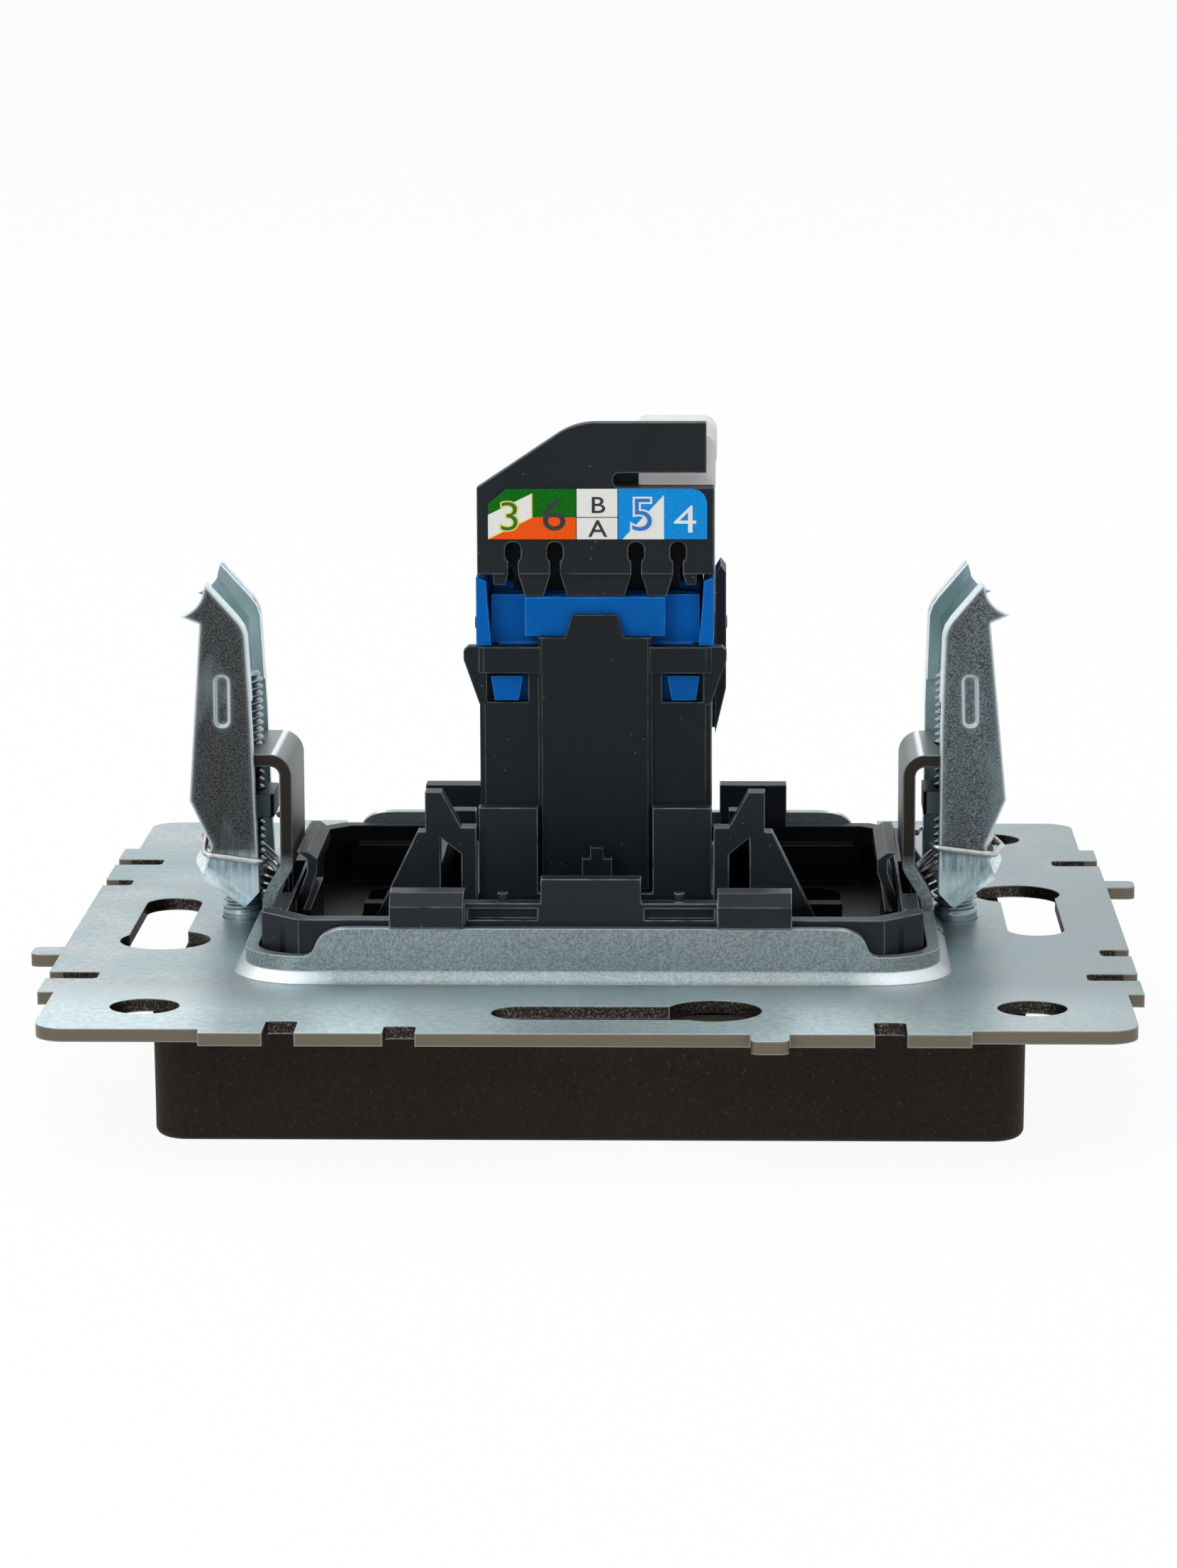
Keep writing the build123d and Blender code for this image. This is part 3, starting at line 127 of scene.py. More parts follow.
class Paint:
    """One material in the making: its node tree and the short ways to fill it."""

    def __init__(self, name, **fixed):
        self.material = bpy.data.materials.new(name)
        self.material.use_nodes = True
        self.tree = self.material.node_tree
        self.surface = self.tree.nodes["Principled BSDF"]
        for socket, value in fixed.items():
            self.set(socket.replace("_", " ").title(), value)
        place = self.tree.nodes.new("ShaderNodeTexCoord")
        self.place = Value(self, place.outputs["Object"])
        self.x, self.y, self.z = self.parts(self.place)
        _, self.facing_y, self.facing_z = self.parts(Value(self, place.outputs["Normal"]))

    def put(self, slot, value):
        if isinstance(value, Value):
            self.tree.links.new(value.socket, slot)
        elif slot.type == "RGBA" and len(value) == 3:
            slot.default_value = (*value, 1.0)
        else:
            slot.default_value = value

    def set(self, socket, value):
        self.put(self.surface.inputs[socket], value)

    def node(self, kind, settings=None, inputs=None, output=0):
        """Any other node: its type, its settings, its inputs by name or number, and the output wanted."""
        made = self.tree.nodes.new(kind)
        for key, value in (settings or {}).items():
            setattr(made, key, value)
        for key, value in (inputs or {}).items():
            self.put(made.inputs[key], value)
        return Value(self, made.outputs[output])

    def parts(self, vector):
        made = self.tree.nodes.new("ShaderNodeSeparateXYZ")
        self.put(made.inputs[0], vector)
        return [Value(self, made.outputs[axis]) for axis in "XYZ"]

    def noise(self, size, detail=3.0, rough=0.55, stretch=(1, 1, 1)):
        """Cloudy 0 to 1 pattern, its patches about size metres across, or longer where stretch is below 1."""
        where = self.node("ShaderNodeVectorMath", {"operation": "MULTIPLY"}, {0: self.place, 1: stretch})
        return self.node("ShaderNodeTexNoise", None, {
            "Vector": where, "Scale": 1 / size, "Detail": detail, "Roughness": rough})

    def cells(self, size):
        """Distance from scattered points about size metres apart, 0 at each."""
        return self.node("ShaderNodeTexVoronoi", None, {"Vector": self.place, "Scale": 1 / size})

    def blend(self, factor, first, second):
        """Colour first where factor is 0 and second where it is 1."""
        return self.node("ShaderNodeMix", {"data_type": "RGBA"}, {0: factor, 6: first, 7: second}, output=2)

    def rounded(self, radius):
        """The surface direction with every edge of the solid rounded by radius metres."""
        return self.node("ShaderNodeBevel", {"samples": 6}, {"Radius": radius})

    def bump(self, height, depth, strength):
        """Height stands proud by depth metres where it is 1; the edges are rounded."""
        base = self.rounded(EDGE_ROUNDING)
        self.set("Normal", self.node("ShaderNodeBump", None, {
            "Strength": strength, "Distance": depth, "Height": height, "Normal": base}))

    def edges(self, radius):
        """1 along the edges of the solid, fading to 0 at radius metres from them."""
        soft = self.rounded(radius)
        true = self.node("ShaderNodeNewGeometry", output="Normal")
        alike = self.node(
            "ShaderNodeVectorMath", {"operation": "DOT_PRODUCT"}, {0: soft, 1: true}, output="Value")
        return (1 - alike).ramp(*EDGE_TURN)

    def in_carrier(self):
        """1 between the carrier's walls, seen from above."""
        return (self.x.size() < CARRIER_X) * (self.y.size() < CARRIER_Y)


def times(share, colour):
    return tuple(share * c for c in colour)


# Finishes

SHEEN = 0.15             # reflectance of the satin plastics, 0.5 being plain plastic
BLUE_SHEEN = 0.06
FILM_SHEEN = 0.1

# Inks of the labels
GREEN = (0.0, 0.125, 0.002)
ORANGE = (0.86, 0.085, 0.0)
BLUE = (0.0, 0.25, 0.68)
WHITE = (0.80, 0.80, 0.77)
BLACK = (0.02, 0.03, 0.03)
YELLOW = (0.80, 0.68, 0.06)


def plate_zinc():
    """Dull zinc on flat sheet: fine grain, rolled lines and broad clouds, paler at the near side as a
    painted highlight and darker towards the right as painted shade.

    The drawn collar is darker and speckled, with a painted highlight along its curved root that
    widens at the plate's corners. The cut edges are grey-brown with a painted highlight along them, and
    near-black inside the holes as painted shade. The upright straps are dark with painted highlights on
    their rims.
    """
    near_from, near_full = -21 * MM, -29 * MM
    right_from, right_full = 14 * MM, 34 * MM
    strap_from, strap_full = 4.3 * MM, 5.3 * MM
    cut_edge_top = 0.3 * MM
    rim_x, rim_y, rim_sum = 34.6 * MM, 34.3 * MM, 66.3 * MM   # the plate's outline, just inside its edge
    corner_x, corner_y, corner_full = 16.5 * MM, 17 * MM, 20 * MM

    p = Paint("plate_zinc", metallic=0.9)
    broad = p.noise(24 * MM, 3, 0.5)
    cloud = p.noise(9 * MM, 4)
    grain = p.noise(0.16 * MM, 2, 0.7)
    mottle = p.noise(0.55 * MM, 3, 0.7)
    rolled = p.noise(0.35 * MM, 3, 0.6, (0.06, 1, 1))
    pit = p.noise(0.15 * MM, 3, 0.75)
    level = p.facing_z.size().ramp(0.55, 0.99)
    near = p.y.ramp(near_from, near_full)
    strap = p.z.ramp(strap_from, strap_full)
    edge_highlight = p.edges(0.2 * MM)

    # painted highlight for the near side, mottled
    near_highlight = p.blend(mottle.ramp(0.35, 0.65), (0.50, 0.65, 0.68), (0.82, 0.97, 1.0))
    face = p.blend(cloud.ramp(0.38, 0.62), (0.38, 0.52, 0.55), (0.58, 0.62, 0.635))
    face = p.blend(broad.ramp(0.45, 0.58) * 0.6, face, (0.24, 0.365, 0.395))
    face = p.blend(grain.ramp(0.4, 0.7) * 0.6, face, (0.17, 0.225, 0.24))
    face = p.blend(mottle.ramp(0.42, 0.62) * 0.4, face, (0.19, 0.26, 0.28))
    face = p.blend(rolled.ramp(0.52, 0.72) * 0.25, face, (0.62, 0.71, 0.74))
    # painted highlight: paler towards the near side
    face = p.blend(near * 0.75, face, near_highlight)
    # painted shade: darker towards the right
    face = p.blend(p.x.ramp(right_from, right_full) * 0.6, face, (0.19, 0.245, 0.26))
    face = p.blend(strap, face, (0.20, 0.225, 0.23))

    out_x, out_y = p.x.size(), p.y.size()
    in_hole = (out_x < rim_x) * (out_y < rim_y) * (out_x + out_y < rim_sum)
    # painted shade: the cut walls inside the holes are near-black, with pale pits
    hole_wall_shade = p.blend(pit.ramp(0.5, 0.7), (0.020, 0.017, 0.014), (0.20, 0.18, 0.16))
    cut_wall = p.blend(in_hole, (0.15, 0.13, 0.10), hole_wall_shade)
    collar_wall = p.blend(pit.ramp(0.35, 0.65), (0.15, 0.18, 0.19), (0.32, 0.375, 0.39))
    wall = p.blend(p.z.ramp(0.0, cut_edge_top), cut_wall, collar_wall)
    # painted highlight along the cut edges
    wall = p.blend(edge_highlight * 0.5, wall, (0.50, 0.53, 0.54))
    strap_wall = p.blend(p.facing_y.size().ramp(0.6, 0.9), (0.055, 0.070, 0.078), (0.030, 0.025, 0.020))
    # painted highlight on the straps' rims
    strap_wall = p.blend(edge_highlight * 0.8, strap_wall, (0.42, 0.46, 0.47))
    wall = p.blend(strap, wall, strap_wall)

    # painted highlight: a bright line along the collar's curved root, broader at the plate's corners
    corner = out_x.ramp(corner_x, corner_full) * out_y.ramp(corner_y, corner_full)
    root = p.facing_z.size().ramp(0.93, 0.98) * p.facing_z.size().ramp(0.9999, 0.993)
    root_and_corner_highlight = root.max(corner * level * (1 - level) * 3)
    p.set("Base Color", p.blend(root_and_corner_highlight, p.blend(level, wall, face), (0.86, 0.93, 0.96)))
    p.set("Roughness", 0.27 + 0.10 * cloud + 0.06 * grain + 0.05 * (1 - level))
    p.bump(grain + pit * (1 - level), 0.02 * MM, 0.6)
    return p.material


def claw_zinc(name, dark, light):
    """Zinc on the claws: grained dark outer sides and blue-grey inner sides.

    The foot is brushed and paler low down as a painted highlight, and the edges, the rims and the web
    are painted bright as highlights.
    """
    foot_from, foot_full = 5.9 * MM, 5.3 * MM
    pale_from, pale_full = 4.6 * MM, 3.6 * MM

    p = Paint(name, metallic=0.8)
    broadside = p.facing_y.size().ramp(0.93, 0.985)
    grain = p.noise(0.13 * MM, 3, 0.75)
    cloud = p.noise(4.5 * MM, 3, 0.6, (1, 1, 0.5))
    warm = p.noise(3 * MM, 2, 0.5, (1, 1, 0.35))
    streak = p.noise(0.25 * MM, 3, 0.6, (1, 1, 0.15))
    speck = p.cells(0.32 * MM) < 0.07

    outer = p.blend(grain.ramp(0.40, 0.62), dark, light)
    outer = p.blend(warm.ramp(0.5, 0.75) * 0.45, outer, (0.030, 0.020, 0.016))
    outer = p.blend(cloud.ramp(0.50, 0.70) * 0.6, outer, (0.22, 0.30, 0.32))
    outer = p.blend(speck * 0.3, outer, (0.6, 0.66, 0.68))
    # painted highlight, broad and faint, along the edges
    outer = p.blend(p.edges(0.75 * MM) * 0.45, outer, (0.30, 0.38, 0.40))
    foot = p.blend(streak.ramp(0.25, 0.80), (0.10, 0.18, 0.20), (0.50, 0.65, 0.69))
    # painted highlight: the foot paler low down
    foot = p.blend(p.z.ramp(pale_from, pale_full) * 0.55, foot, (0.72, 0.84, 0.88))
    outer = p.blend(p.z.ramp(foot_from, foot_full), outer, foot)
    # painted highlight: bright rims along the edges
    outer = p.blend(p.edges(0.32 * MM), outer, (0.80, 0.90, 0.93))
    inner = p.blend(cloud.ramp(0.35, 0.7), (0.15, 0.25, 0.27), (0.36, 0.50, 0.53))
    faces_middle = (p.y * p.facing_y) < 0
    # painted highlight: every face but the broad sides is bright
    rim_highlight = p.blend(streak.ramp(0.3, 0.65), (0.50, 0.66, 0.71), (0.86, 0.95, 0.98))
    p.set("Base Color", p.blend(broadside, rim_highlight, p.blend(faces_middle, outer, inner)))
    p.set("Roughness", 0.26 + 0.2 * grain + 0.1 * broadside)
    p.bump(grain * broadside + streak * (1 - broadside), 0.03 * MM, 0.6)
    return p.material


def bright_steel(name, colour, rough, stretch):
    """Bright plated or drawn steel with fine lines, drawn out along one direction by stretch."""
    p = Paint(name, metallic=0.95)
    lines = p.noise(0.12 * MM, 3, 0.65, stretch)
    p.set("Base Color", p.blend(lines.ramp(0.3, 0.7), times(0.6, colour), colour))
    p.set("Roughness", rough + 0.15 * lines)
    p.bump(lines, 0.01 * MM, 0.4)
    return p.material


def moulded(name, colour, pale, rough, gloss=SHEEN, dust=0.5, recess_shade=0.0):
    """Moulded plastic: faint texture and flow clouds, paler edges that are partly rubbed wear and
    partly painted highlight, specks of dust.

    The last argument is the share of near-black painted shade inside the carrier's walls, below their top.
    """
    recess_top, recess_full = 3.5 * MM, 2.6 * MM
    p = Paint(name)
    p.set("Specular IOR Level", gloss)
    fine = p.noise(0.11 * MM, 3, 0.7)
    cloud = p.noise(5 * MM, 4, 0.6, (1, 1, 0.5))
    # paler edges: partly rubbed wear, partly painted highlight
    wear_and_highlight = p.edges(0.17 * MM) * p.noise(1.3 * MM, 3).ramp(0.25, 0.55)
    speck = (p.cells(0.85 * MM) < 0.042) * (p.noise(3.3 * MM, 2) > 0.47)
    shade = p.blend(cloud.ramp(0.3, 0.75), times(0.82, colour), times(1.2, colour))
    shade = p.blend(fine.ramp(0.45, 0.7) * 0.3, shade, times(1.6, colour))
    shade = p.blend(wear_and_highlight * 0.75, shade, pale)
    shade = p.blend(speck * dust, shade, (0.42, 0.44, 0.45))
    if recess_shade:
        # painted shade: near-black inside the carrier's walls, below their top
        deep_shade = p.in_carrier() * p.z.ramp(recess_top, recess_full)
        shade = p.blend(deep_shade * recess_shade, shade, (0.0015, 0.0015, 0.002))
    p.set("Base Color", shade)
    p.set("Roughness", rough + 0.12 * cloud - 0.1 * wear_and_highlight)
    p.bump(fine, 0.02 * MM, 0.35)
    return p.material


def cover_brown():
    """Matt dark brown moulding with a grained skin, pale specks and a painted highlight along its edges,
    and near-black painted shade under the carrier.
    """
    cover_inside = -8 * MM
    p = Paint("cover_brown")
    p.set("Specular IOR Level", SHEEN)
    grain = p.noise(0.28 * MM, 4, 0.75)
    cloud = p.noise(7 * MM, 3)
    speck = p.cells(0.55 * MM) < 0.12
    shade = p.blend(grain.ramp(0.35, 0.7), (0.010, 0.006, 0.0035), (0.027, 0.017, 0.0105))
    shade = p.blend(speck * grain * 0.55, shade, (0.13, 0.105, 0.08))
    # painted highlight along the edges
    shade = p.blend(p.edges(0.2 * MM) * 0.4, shade, (0.11, 0.085, 0.065))
    # painted shade: near-black under the carrier
    shade = p.blend(p.in_carrier() * (p.z > cover_inside) * 0.9, shade, (0.0012, 0.001, 0.001))
    p.set("Base Color", shade)
    p.set("Roughness", 0.52 + 0.2 * cloud)
    p.bump(grain, 0.05 * MM, 0.6)
    return p.material


def clear_guide():
    """Frosted see-through moulding."""
    p = Paint("clear_guide", base_color=(0.97, 0.97, 0.96), transmission_weight=0.45)
    cloud = p.noise(1.6 * MM, 3)
    p.set("Roughness", 0.24 + 0.25 * cloud)
    p.bump(cloud, 0.03 * MM, 0.3)
    return p.material


def label_print():
    """Printed film, drawn on X and Z: striped green, green over orange, white, striped blue, blue."""
    second_from, third_from, fourth_from, fifth_from = -4.1, -1.2, 1.55, 4.6
    first_foot, first_slope = -7.1, 0.49      # slanting borders of the first and the fourth column
    fourth_foot, fourth_slope = 1.85, 1.07
    stripe = 1.6             # height of the first column's white stripe
    half_way = 1.46          # height of the border across the second and third columns
    thin, middling, thick = 0.03, 0.035, 0.045   # half widths of lines

    p = Paint("label_print")
    p.set("Specular IOR Level", FILM_SHEEN)
    x = p.x * 1000
    z = p.z * 1000 - LABEL_LOW
    screen = p.noise(0.16 * MM, 1, 0.5)

    def area(ink):
        lighter = tuple(min(1, c * 1.35 + 0.02) for c in ink)
        return p.blend(screen.ramp(0.45, 0.62) * 0.3, ink, lighter)

    def line(distance, half_width):
        return distance.size() < half_width

    rise = z - (x - first_foot) * first_slope
    striped = (rise > 0.0) * (rise < stripe)
    first = p.blend(striped, area(GREEN), WHITE)
    first = p.blend(rise > 0.0, area(ORANGE), first)
    first = p.blend(line(rise, middling), first, YELLOW)
    first = p.blend(line(x - second_from + 0.04, thick) * striped, first, YELLOW)
    second = p.blend(z > half_way, area(ORANGE), area(GREEN))
    fourth = p.blend(z < (x - fourth_foot) * fourth_slope, area(BLUE), WHITE)
    shade = p.blend(x > second_from, first, second)
    shade = p.blend(x > third_from, shade, WHITE)
    shade = p.blend(line(z - half_way, thin) * (x > third_from), shade, BLACK)
    shade = p.blend(x > fourth_from, shade, fourth)
    shade = p.blend(x > fifth_from, shade, area(BLUE))
    for border in (third_from, fourth_from):
        shade = p.blend(line(x - border, thin), shade, BLACK)
    p.set("Base Color", shade)
    p.set("Roughness", 0.34 + 0.1 * screen)
    return p.material


def plain(name, colour, rough, metallic=0.0):
    """A finish with only faint clouds, for the inks and the small parts inside."""
    p = Paint(name, metallic=metallic)
    cloud = p.noise(1.5 * MM, 3)
    p.set("Base Color", p.blend(cloud, times(0.8, colour), times(1.15, colour)))
    p.set("Roughness", rough + 0.12 * cloud)
    return p.material


FINISH = {
    "plate": plate_zinc(),
    # the two claws are one zinc painted in two brightnesses: the left darker as painted shade, the right
    # lighter
    "claw_left": claw_zinc("claw_zinc_left", (0.012, 0.0125, 0.013), (0.10, 0.109, 0.114)),
    "claw_right": claw_zinc("claw_zinc_right", (0.034, 0.042, 0.045), (0.18, 0.215, 0.23)),
    "screw": bright_steel("screw_steel", (0.34, 0.41, 0.45), 0.24, (1, 1, 6)),
    "nut": bright_steel("nut_steel", (0.11, 0.145, 0.145), 0.3, (1, 1, 1)),
    "spring": bright_steel("spring_wire", (0.62, 0.62, 0.62), 0.24, (0.3, 0.3, 1)),
    "cover": cover_brown(),
    "charcoal": moulded("charcoal_plastic", (0.014, 0.018, 0.024), (0.42, 0.45, 0.48), 0.36, recess_shade=0.97),
    "jack": moulded("jack_plastic", (0.0065, 0.0105, 0.014), (0.20, 0.22, 0.24), 0.36),
    "black": moulded("cap_plastic", (0.0095, 0.013, 0.0165), (0.24, 0.26, 0.28), 0.34, dust=0.6),
    "blue": moulded("blue_plastic", (0.0, 0.108, 0.42), (0.05, 0.30, 0.75), 0.34, BLUE_SHEEN, dust=0.2),
    "clear": clear_guide(),
    "label": label_print(),
    "board": plain("board_lacquer", (0.01, 0.08, 0.03), 0.3),
    "gold": plain("gold_plate", (0.80, 0.55, 0.20), 0.25, metallic=1.0),
    # painted shade: the tin contacts are a dull grey, darker than bright tin, for the shade they sit in
    "tin": plain("tin_plate_shaded", (0.20, 0.20, 0.19), 0.4, metallic=1.0),
    "ink_green": plain("ink_green", GREEN, 0.35),
    "ink_blue": plain("ink_blue", (0.0, 0.17, 0.58), 0.35),
    "ink_black": plain("ink_black", (0.008, 0.014, 0.012), 0.45),
    "ink_white": plain("ink_white", WHITE, 0.35),
    "ink_yellow": plain("ink_yellow", YELLOW, 0.35),
}


# Ways to make a piece

SAME_POINT = 1e-7                    # metres apart, or less, are one point of a solid
SAME_FACE = math.radians(0.4)        # triangles that differ by less are one face
SHARP_EDGE = math.radians(28)        # faces that differ by less are shaded as one curve


def show(name, mesh, finish, node):
    """A new piece from a mesh, riding on the node's body, with the finish as its one material."""
    piece = bpy.data.objects.new(name, mesh)
    bpy.context.scene.collection.objects.link(piece)
    mesh.materials.clear()
    mesh.materials.append(FINISH[finish])
    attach(piece, BODY_OF[node])
    return piece


def finish_node(node, finish):
    """The CAD node as it is, with a better material."""
    for spot in frame["nodes"][node].material_slots:
        spot.material = FINISH[finish]


def merged_copy(node, keep=None):
    """The CAD node's mesh with its loose triangles joined and its flat faces made whole.

    keep says from the middle of a face, in millimetres, whether the face stays.
    """
    made = bmesh.new()
    made.from_mesh(frame["nodes"][node].data)
    bmesh.ops.remove_doubles(made, verts=made.verts, dist=SAME_POINT)
    if keep:
        away = [face for face in made.faces if not keep(face.calc_center_median() / MM)]
        bmesh.ops.delete(made, geom=away, context="FACES")
    bmesh.ops.dissolve_limit(
        made, angle_limit=SAME_FACE, verts=made.verts, edges=made.edges, delimit={"NORMAL"})
    mesh = bpy.data.meshes.new(node)
    made.to_mesh(mesh)
    made.free()
    return mesh


def grid_mesh(name, points, wrap=False):
    """Quads over a grid of points, rows by columns; wrap closes each row on itself."""
    rows, columns = points.shape[:2]
    steps = columns if wrap else columns - 1
    row, column = np.meshgrid(np.arange(rows - 1), np.arange(steps), indexing="ij")
    here, above = row * columns, (row + 1) * columns
    after = (column + 1) % columns
    quads = np.stack([here + column, here + after, above + after, above + column], -1)
    mesh = bpy.data.meshes.new(name)
    mesh.from_pydata(points.reshape(-1, 3).tolist(), [], quads.reshape(-1, 4).tolist())
    return mesh


def prism(name, outline, near, far):
    """A straight bar along Y from near to far, with the outline on X and Z at both its flat ends."""
    points = np.array([[(x, y, z) for x, z in outline] for y in (near, far)], float) * MM
    mesh = grid_mesh(name, points, wrap=True)
    made = bmesh.new()
    made.from_mesh(mesh)
    bmesh.ops.holes_fill(made, edges=made.edges)
    bmesh.ops.recalc_face_normals(made, faces=made.faces)
    made.to_mesh(mesh)
    made.free()
    return mesh


def oblong(left, right, low, high):
    """Outline of a rectangle on X and Z."""
    return [(left, low), (right, low), (right, high), (left, high)]


def round_corner(x, z, radius):
    """Outline of a quarter circle about (x, z), from its right end up to its top."""
    turn = np.linspace(0, math.pi / 2, 6)
    return np.stack([x + radius * np.sin(turn), z + radius * np.cos(turn)], -1)[::-1].tolist()


def carved(mesh, cutter):
    """The first mesh less the second."""
    body = bpy.data.objects.new("body", mesh)
    tool = bpy.data.objects.new("tool", cutter)
    for part in (body, tool):
        bpy.context.scene.collection.objects.link(part)
    less = body.modifiers.new("less", "BOOLEAN")
    less.operation = "DIFFERENCE"
    less.solver = "EXACT"
    less.object = tool
    result = bpy.data.meshes.new_from_object(body.evaluated_get(bpy.context.evaluated_depsgraph_get()))
    for part in (body, tool):
        bpy.data.objects.remove(part)
    return result


def smoothed(node, finish, cutter=None):
    """The node's own solid with curved faces shaded smooth and its edges left for the finish to round."""
    mesh = merged_copy(node)
    if cutter:
        mesh = carved(mesh, cutter)
    made = bmesh.new()
    made.from_mesh(mesh)
    for face in made.faces:
        face.smooth = True
    for edge in made.edges:
        edge.smooth = not edge.is_manifold or edge.calc_face_angle() < SHARP_EDGE
    made.to_mesh(mesh)
    made.free()
    piece = show(node + "_smooth", mesh, finish, node)
    even = piece.modifiers.new("even", "WEIGHTED_NORMAL")
    even.keep_sharp = True
    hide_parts(node)


def threaded_screw(node, middle):
    """A screw with a real thread on its shank and the CAD solid's own head, in millimetres.

    Radius on (turn, height): crest down to root along a V with cut-off tips, whose phase is
    height / pitch - turn. The thread deepens over the run-in and the end is chamfered.
    """
    pitch, crest, root = 0.5, 1.5, 1.2
    low, thread_low, top = -0.89, 0.4, 17.1
    run_in, chamfer = 0.6, 0.35
    around, along = 40, 10               # points round the shank and along one pitch
    steepness, cut_off = 1.25, 0.1       # of the V, as shares of its depth
    head_top, shank_low = -0.885, -0.88

    turns = np.linspace(0, 2 * math.pi, around + 1)[:-1]
    step = pitch / along
    heights = np.concatenate([
        np.linspace(low, thread_low, 6), np.arange(thread_low + step, top + step / 2, step), [top]])
    height, turn = np.meshgrid(heights, turns, indexing="ij")
    phase = (height / pitch - turn / (2 * math.pi)) % 1
    valley = np.clip(steepness * (1 - 2 * np.abs(phase - 0.5)) - cut_off, 0, 1)
    depth = (crest - root) * np.clip((height - thread_low) / run_in, 0, 1)
    radius = crest - depth * valley
    radius = np.minimum(radius, crest - np.clip(height - (top - chamfer), 0, 1))
    radius[[0, -1]] = 0.0
    points = np.stack([middle + radius * np.cos(turn), radius * np.sin(turn), height], -1) * MM
    mesh = grid_mesh(node, points, wrap=True)
    made = bmesh.new()
    made.from_mesh(mesh)
    bmesh.ops.remove_doubles(made, verts=made.verts, dist=SAME_POINT / 10)
    made.from_mesh(merged_copy(node, keep=lambda centre: centre.z < head_top))
    shank = [face for face in made.faces if face.calc_center_median().z > shank_low * MM]
    bmesh.ops.recalc_face_normals(made, faces=shank)
    made.to_mesh(mesh)
    made.free()
    piece = show(node + "_threaded", mesh, "screw", node)
    for face in mesh.polygons:
        face.use_smooth = face.center.z > thread_low * MM
    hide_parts(node)


def lettering(name, text, x, z, height, finish, lift, stroke, wide):
    """A printed mark on both labels: flat text made a mesh, standing on Y just off the film.

    stroke widens the strokes, or thins them below 0, and wide stretches the mark along X.
    """
    type_size = 1.38         # of the font, for capitals of height 1
    film = 0.004
    curve = bpy.data.curves.new(name, "FONT")
    curve.body = text
    curve.align_x = "CENTER"
    curve.align_y = "CENTER"
    curve.size = height * type_size * MM
    curve.offset = stroke * MM
    curve.extrude = film * MM
    curve.resolution_u = 6
    source = bpy.data.objects.new(name, curve)
    bpy.context.scene.collection.objects.link(source)
    bpy.context.view_layer.update()
    mesh = bpy.data.meshes.new_from_object(source)
    bpy.data.objects.remove(source)
    for way, side in ((-1, "near"), (1, "far")):
        copy = mesh.copy()
        turn = Matrix(((-way * wide, 0, 0), (0, 0, way), (0, 1, 0))).to_4x4()
        copy.transform(Matrix.Translation(Vector((x, way * (LABEL_Y + lift), z)) * MM) @ turn)
        show(f"{name}_{side}", copy, finish, "label_" + side)


# Pieces that take the place of CAD nodes

# The cap's and the far label's left corners are cut away along a slant
CUTTER = {
    "wire_cap": prism(
        "cap_corner", [(-9.0, 27.3), (-4.9, 30.7), (-4.9, 31.5), (-9.0, 31.5)], near=-6.9, far=9.0),
    "label_far": prism(
        "label_corner", [(-9.0, 27.0), (-4.6, 30.65), (-4.6, 31.5), (-9.0, 31.5)], near=7.0, far=9.0),
}

for node, finish in {
    "mounting_plate": "plate", "claw_left": "claw_left", "claw_right": "claw_right", "cover": "cover",
    "carrier": "charcoal", "keystone_housing": "jack", "wire_cap": "black", "label_near": "label",
    "label_far": "label", "idc_body": "blue", "wire_guide": "clear", "side_latch": "charcoal",
    "claw_nut_left": "nut", "claw_nut_right": "nut",
}.items():
    smoothed(node, finish, CUTTER.get(node))

threaded_screw("claw_screw_left", -SCREW_X)
threaded_screw("claw_screw_right", SCREW_X)

for node, finish in {
    "return_spring_left": "spring", "return_spring_right": "spring", "jack_insert": "charcoal",
    "circuit_board": "board", "jack_contacts": "gold", "idc_contacts_near": "tin", "idc_contacts_far": "tin",
}.items():
    finish_node(node, finish)


# Printed marks: name, text, middle on X and Z, height, ink, lift off the film, stroke, stretch on X

for mark in (
    ("mark_3_edge", "3", -5.62, 28.62, 2.0, "ink_yellow", 0.006, 0.07, 1.15),
    ("mark_3", "3", -5.62, 28.62, 2.0, "ink_green", 0.014, -0.02, 1.15),
    ("mark_6", "6", -2.68, 28.70, 2.15, "ink_black", 0.01, 0.0, 1.2),
    ("mark_B", "B", 0.22, 29.42, 1.12, "ink_black", 0.01, 0.01, 1.2),
    ("mark_A", "A", 0.22, 27.85, 1.16, "ink_black", 0.01, 0.01, 1.15),
    ("mark_5_edge", "5", 3.17, 28.72, 2.3, "ink_white", 0.006, 0.10, 1.1),
    ("mark_5", "5", 3.17, 28.72, 2.3, "ink_blue", 0.014, -0.02, 1.1),
    ("mark_4", "4", 6.02, 28.43, 1.9, "ink_white", 0.01, -0.01, 1.25),
):
    lettering(*mark)


# The clip's front leg, and thin linings that close gaps in the cap and the terminal body

leg_left, leg_right, leg_low, leg_high, leg_corner = 2.9, 8.0, 30.66, 33.95, 0.85
leg = [(leg_left, leg_low), (leg_right, leg_low),
       *round_corner(leg_right - leg_corner, leg_high - leg_corner, leg_corner), (leg_left, leg_high)]
slot = oblong(1.2, 3.0, 30.45, 31.6)
show("slot_back", prism("slot_back", slot, near=-5.95, far=-5.6), "black", "wire_cap")
show("guide_front", prism("guide_front", leg, near=-6.75, far=-6.0), "clear", "wire_guide")

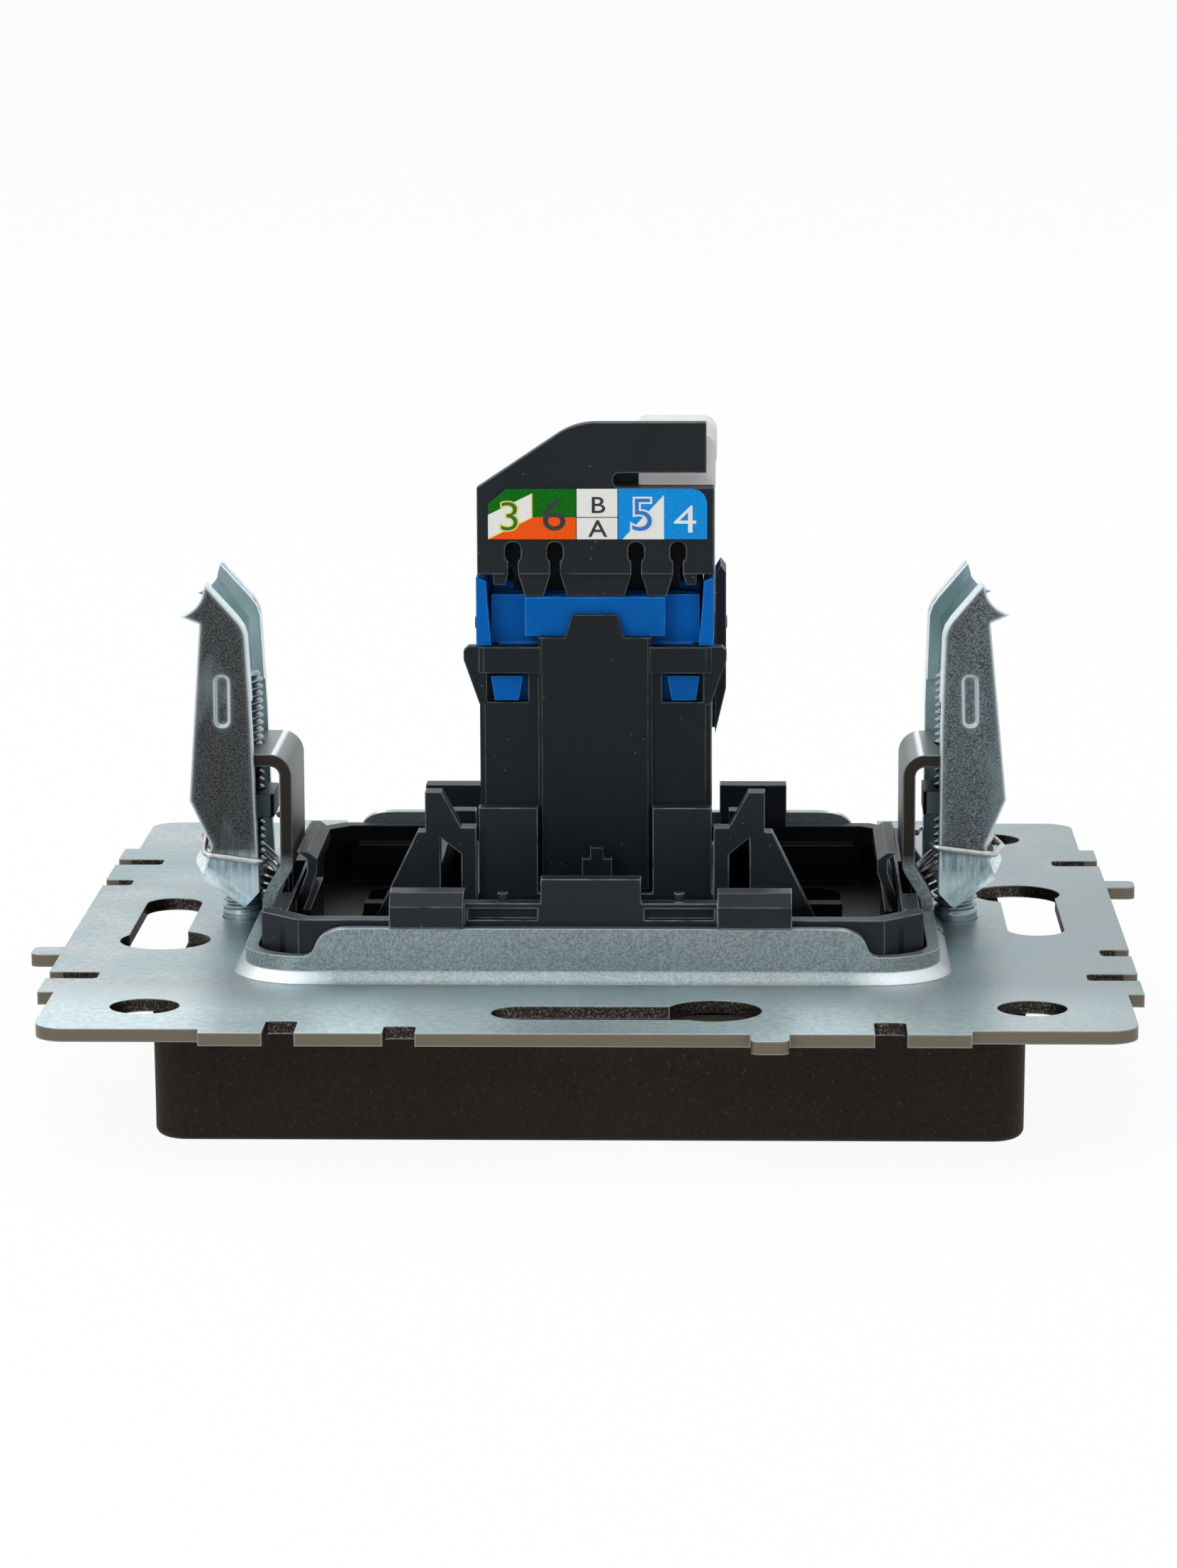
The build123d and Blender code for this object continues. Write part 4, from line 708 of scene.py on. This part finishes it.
lining_near, lining_far, lining_half = 5.4, 7.15, 0.3
for way, side in ((-1, "left"), (1, "right")):
    for name, finish, node, low, high in (
            ("cell_back", "blue", "idc_body", 20.75, 23.38), ("tooth_back", "black", "wire_cap", 23.4, 25.0)):
        outline = oblong(way * lining_near, way * lining_far, low, high)
        show(f"{name}_{side}", prism(name, outline, -lining_half, lining_half), finish, node)


# Floor, light and camera

FLOOR_HALF = 4           # metres
FLOOR_GAP = 0.02 * MM    # under the cover's face
FLOOR_WHITE = 0.92       # share of plain white in the floor, to the camera and in reflections
WORLD_ON_OBJECT = 0.62
WORLD_SEEN = 1.0


def seen_ray(tree):
    """1 for rays that the camera, a reflection or a see-through piece sends, as a socket."""
    path = tree.nodes.new("ShaderNodeLightPath")
    last = path.outputs["Is Camera Ray"]
    for other in ("Is Glossy Ray", "Is Transmission Ray"):
        either = tree.nodes.new("ShaderNodeMath")
        either.operation = "MAXIMUM"
        tree.links.new(last, either.inputs[0])
        tree.links.new(path.outputs[other], either.inputs[1])
        last = either.outputs[0]
    return last


def white_floor():
    """White to the camera and in reflections by its share; the rest keeps the object's shadow."""
    p = Paint("floor_white", base_color=(0.9, 0.9, 0.9), roughness=0.7)
    nodes, links = p.tree.nodes, p.tree.links
    glow = nodes.new("ShaderNodeEmission")
    mixed = nodes.new("ShaderNodeMixShader")
    part = Value(p, seen_ray(p.tree)) * FLOOR_WHITE
    links.new(part.socket, mixed.inputs[0])
    links.new(p.surface.outputs[0], mixed.inputs[1])
    links.new(glow.outputs[0], mixed.inputs[2])
    links.new(mixed.outputs[0], nodes["Material Output"].inputs["Surface"])
    return p.material


def pale_floor():
    """One square just under the object's lowest face."""
    z = CAD_BOX[0][2] - FLOOR_GAP
    ends = (-FLOOR_HALF, FLOOR_HALF)
    floor = bpy.data.objects.new("floor", grid_mesh("floor", np.array(
        [[[x, y, z] for x in ends] for y in ends], float)))
    bpy.context.scene.collection.objects.link(floor)
    floor.data.materials.append(white_floor())


def studio_world():
    """White all round: full strength where it is seen, less as light on the object."""
    world = bpy.data.worlds.new("studio")
    bpy.context.scene.world = world
    world.use_nodes = True
    nodes, links = world.node_tree.nodes, world.node_tree.links
    strength = nodes.new("ShaderNodeMapRange")
    links.new(seen_ray(world.node_tree), strength.inputs["Value"])
    strength.inputs["To Min"].default_value = WORLD_ON_OBJECT
    strength.inputs["To Max"].default_value = WORLD_SEEN
    links.new(strength.outputs[0], nodes["Background"].inputs["Strength"])
    nodes["Background"].inputs["Color"].default_value = (1, 1, 1, 1)


def lamp(name, place, size, power):
    """Square soft light aimed at the middle of the object."""
    aim = Vector((0, 0, 0.01))
    light = bpy.data.lights.new(name, "AREA")
    light.size = size
    light.energy = power
    made = bpy.data.objects.new(name, light)
    bpy.context.scene.collection.objects.link(made)
    made.location = place
    made.rotation_euler = (aim - Vector(place)).to_track_quat("-Z", "Y").to_euler()


def photo_camera():
    """The camera found from the photograph: place, three turns and focal length in pixels."""
    place = Vector((9.505, -342.90, 71.63)) * MM
    pitch, yaw, roll = 0.179863, -0.029766, -0.004033
    focal, long_side, sensor = 7190.96, 2212, 36.0
    ahead = Vector((math.sin(yaw) * math.cos(pitch), math.cos(yaw) * math.cos(pitch), -math.sin(pitch)))
    right = Vector((math.cos(yaw), -math.sin(yaw), 0))
    up = right.cross(ahead)
    level = math.cos(roll) * right + math.sin(roll) * up
    rise = math.cos(roll) * up - math.sin(roll) * right
    camera = bpy.data.objects.new("camera", bpy.data.cameras.new("camera"))
    bpy.context.scene.collection.objects.link(camera)
    camera.data.sensor_width = sensor
    camera.data.lens = focal / long_side * sensor
    turned = Matrix((level, rise, -ahead)).transposed()
    camera.matrix_world = Matrix.Translation(place) @ turned.to_4x4()
    camera.data.clip_start = 0.01
    camera.data.clip_end = 20
    bpy.context.scene.camera = camera


pale_floor()
studio_world()
lamp("overhead", (-0.12, 0.10, 0.55), size=0.85, power=1.9)
lamp("front", (-0.35, -0.55, 0.40), size=0.30, power=1.2)
photo_camera()
bpy.context.scene.view_settings.view_transform = "Standard"
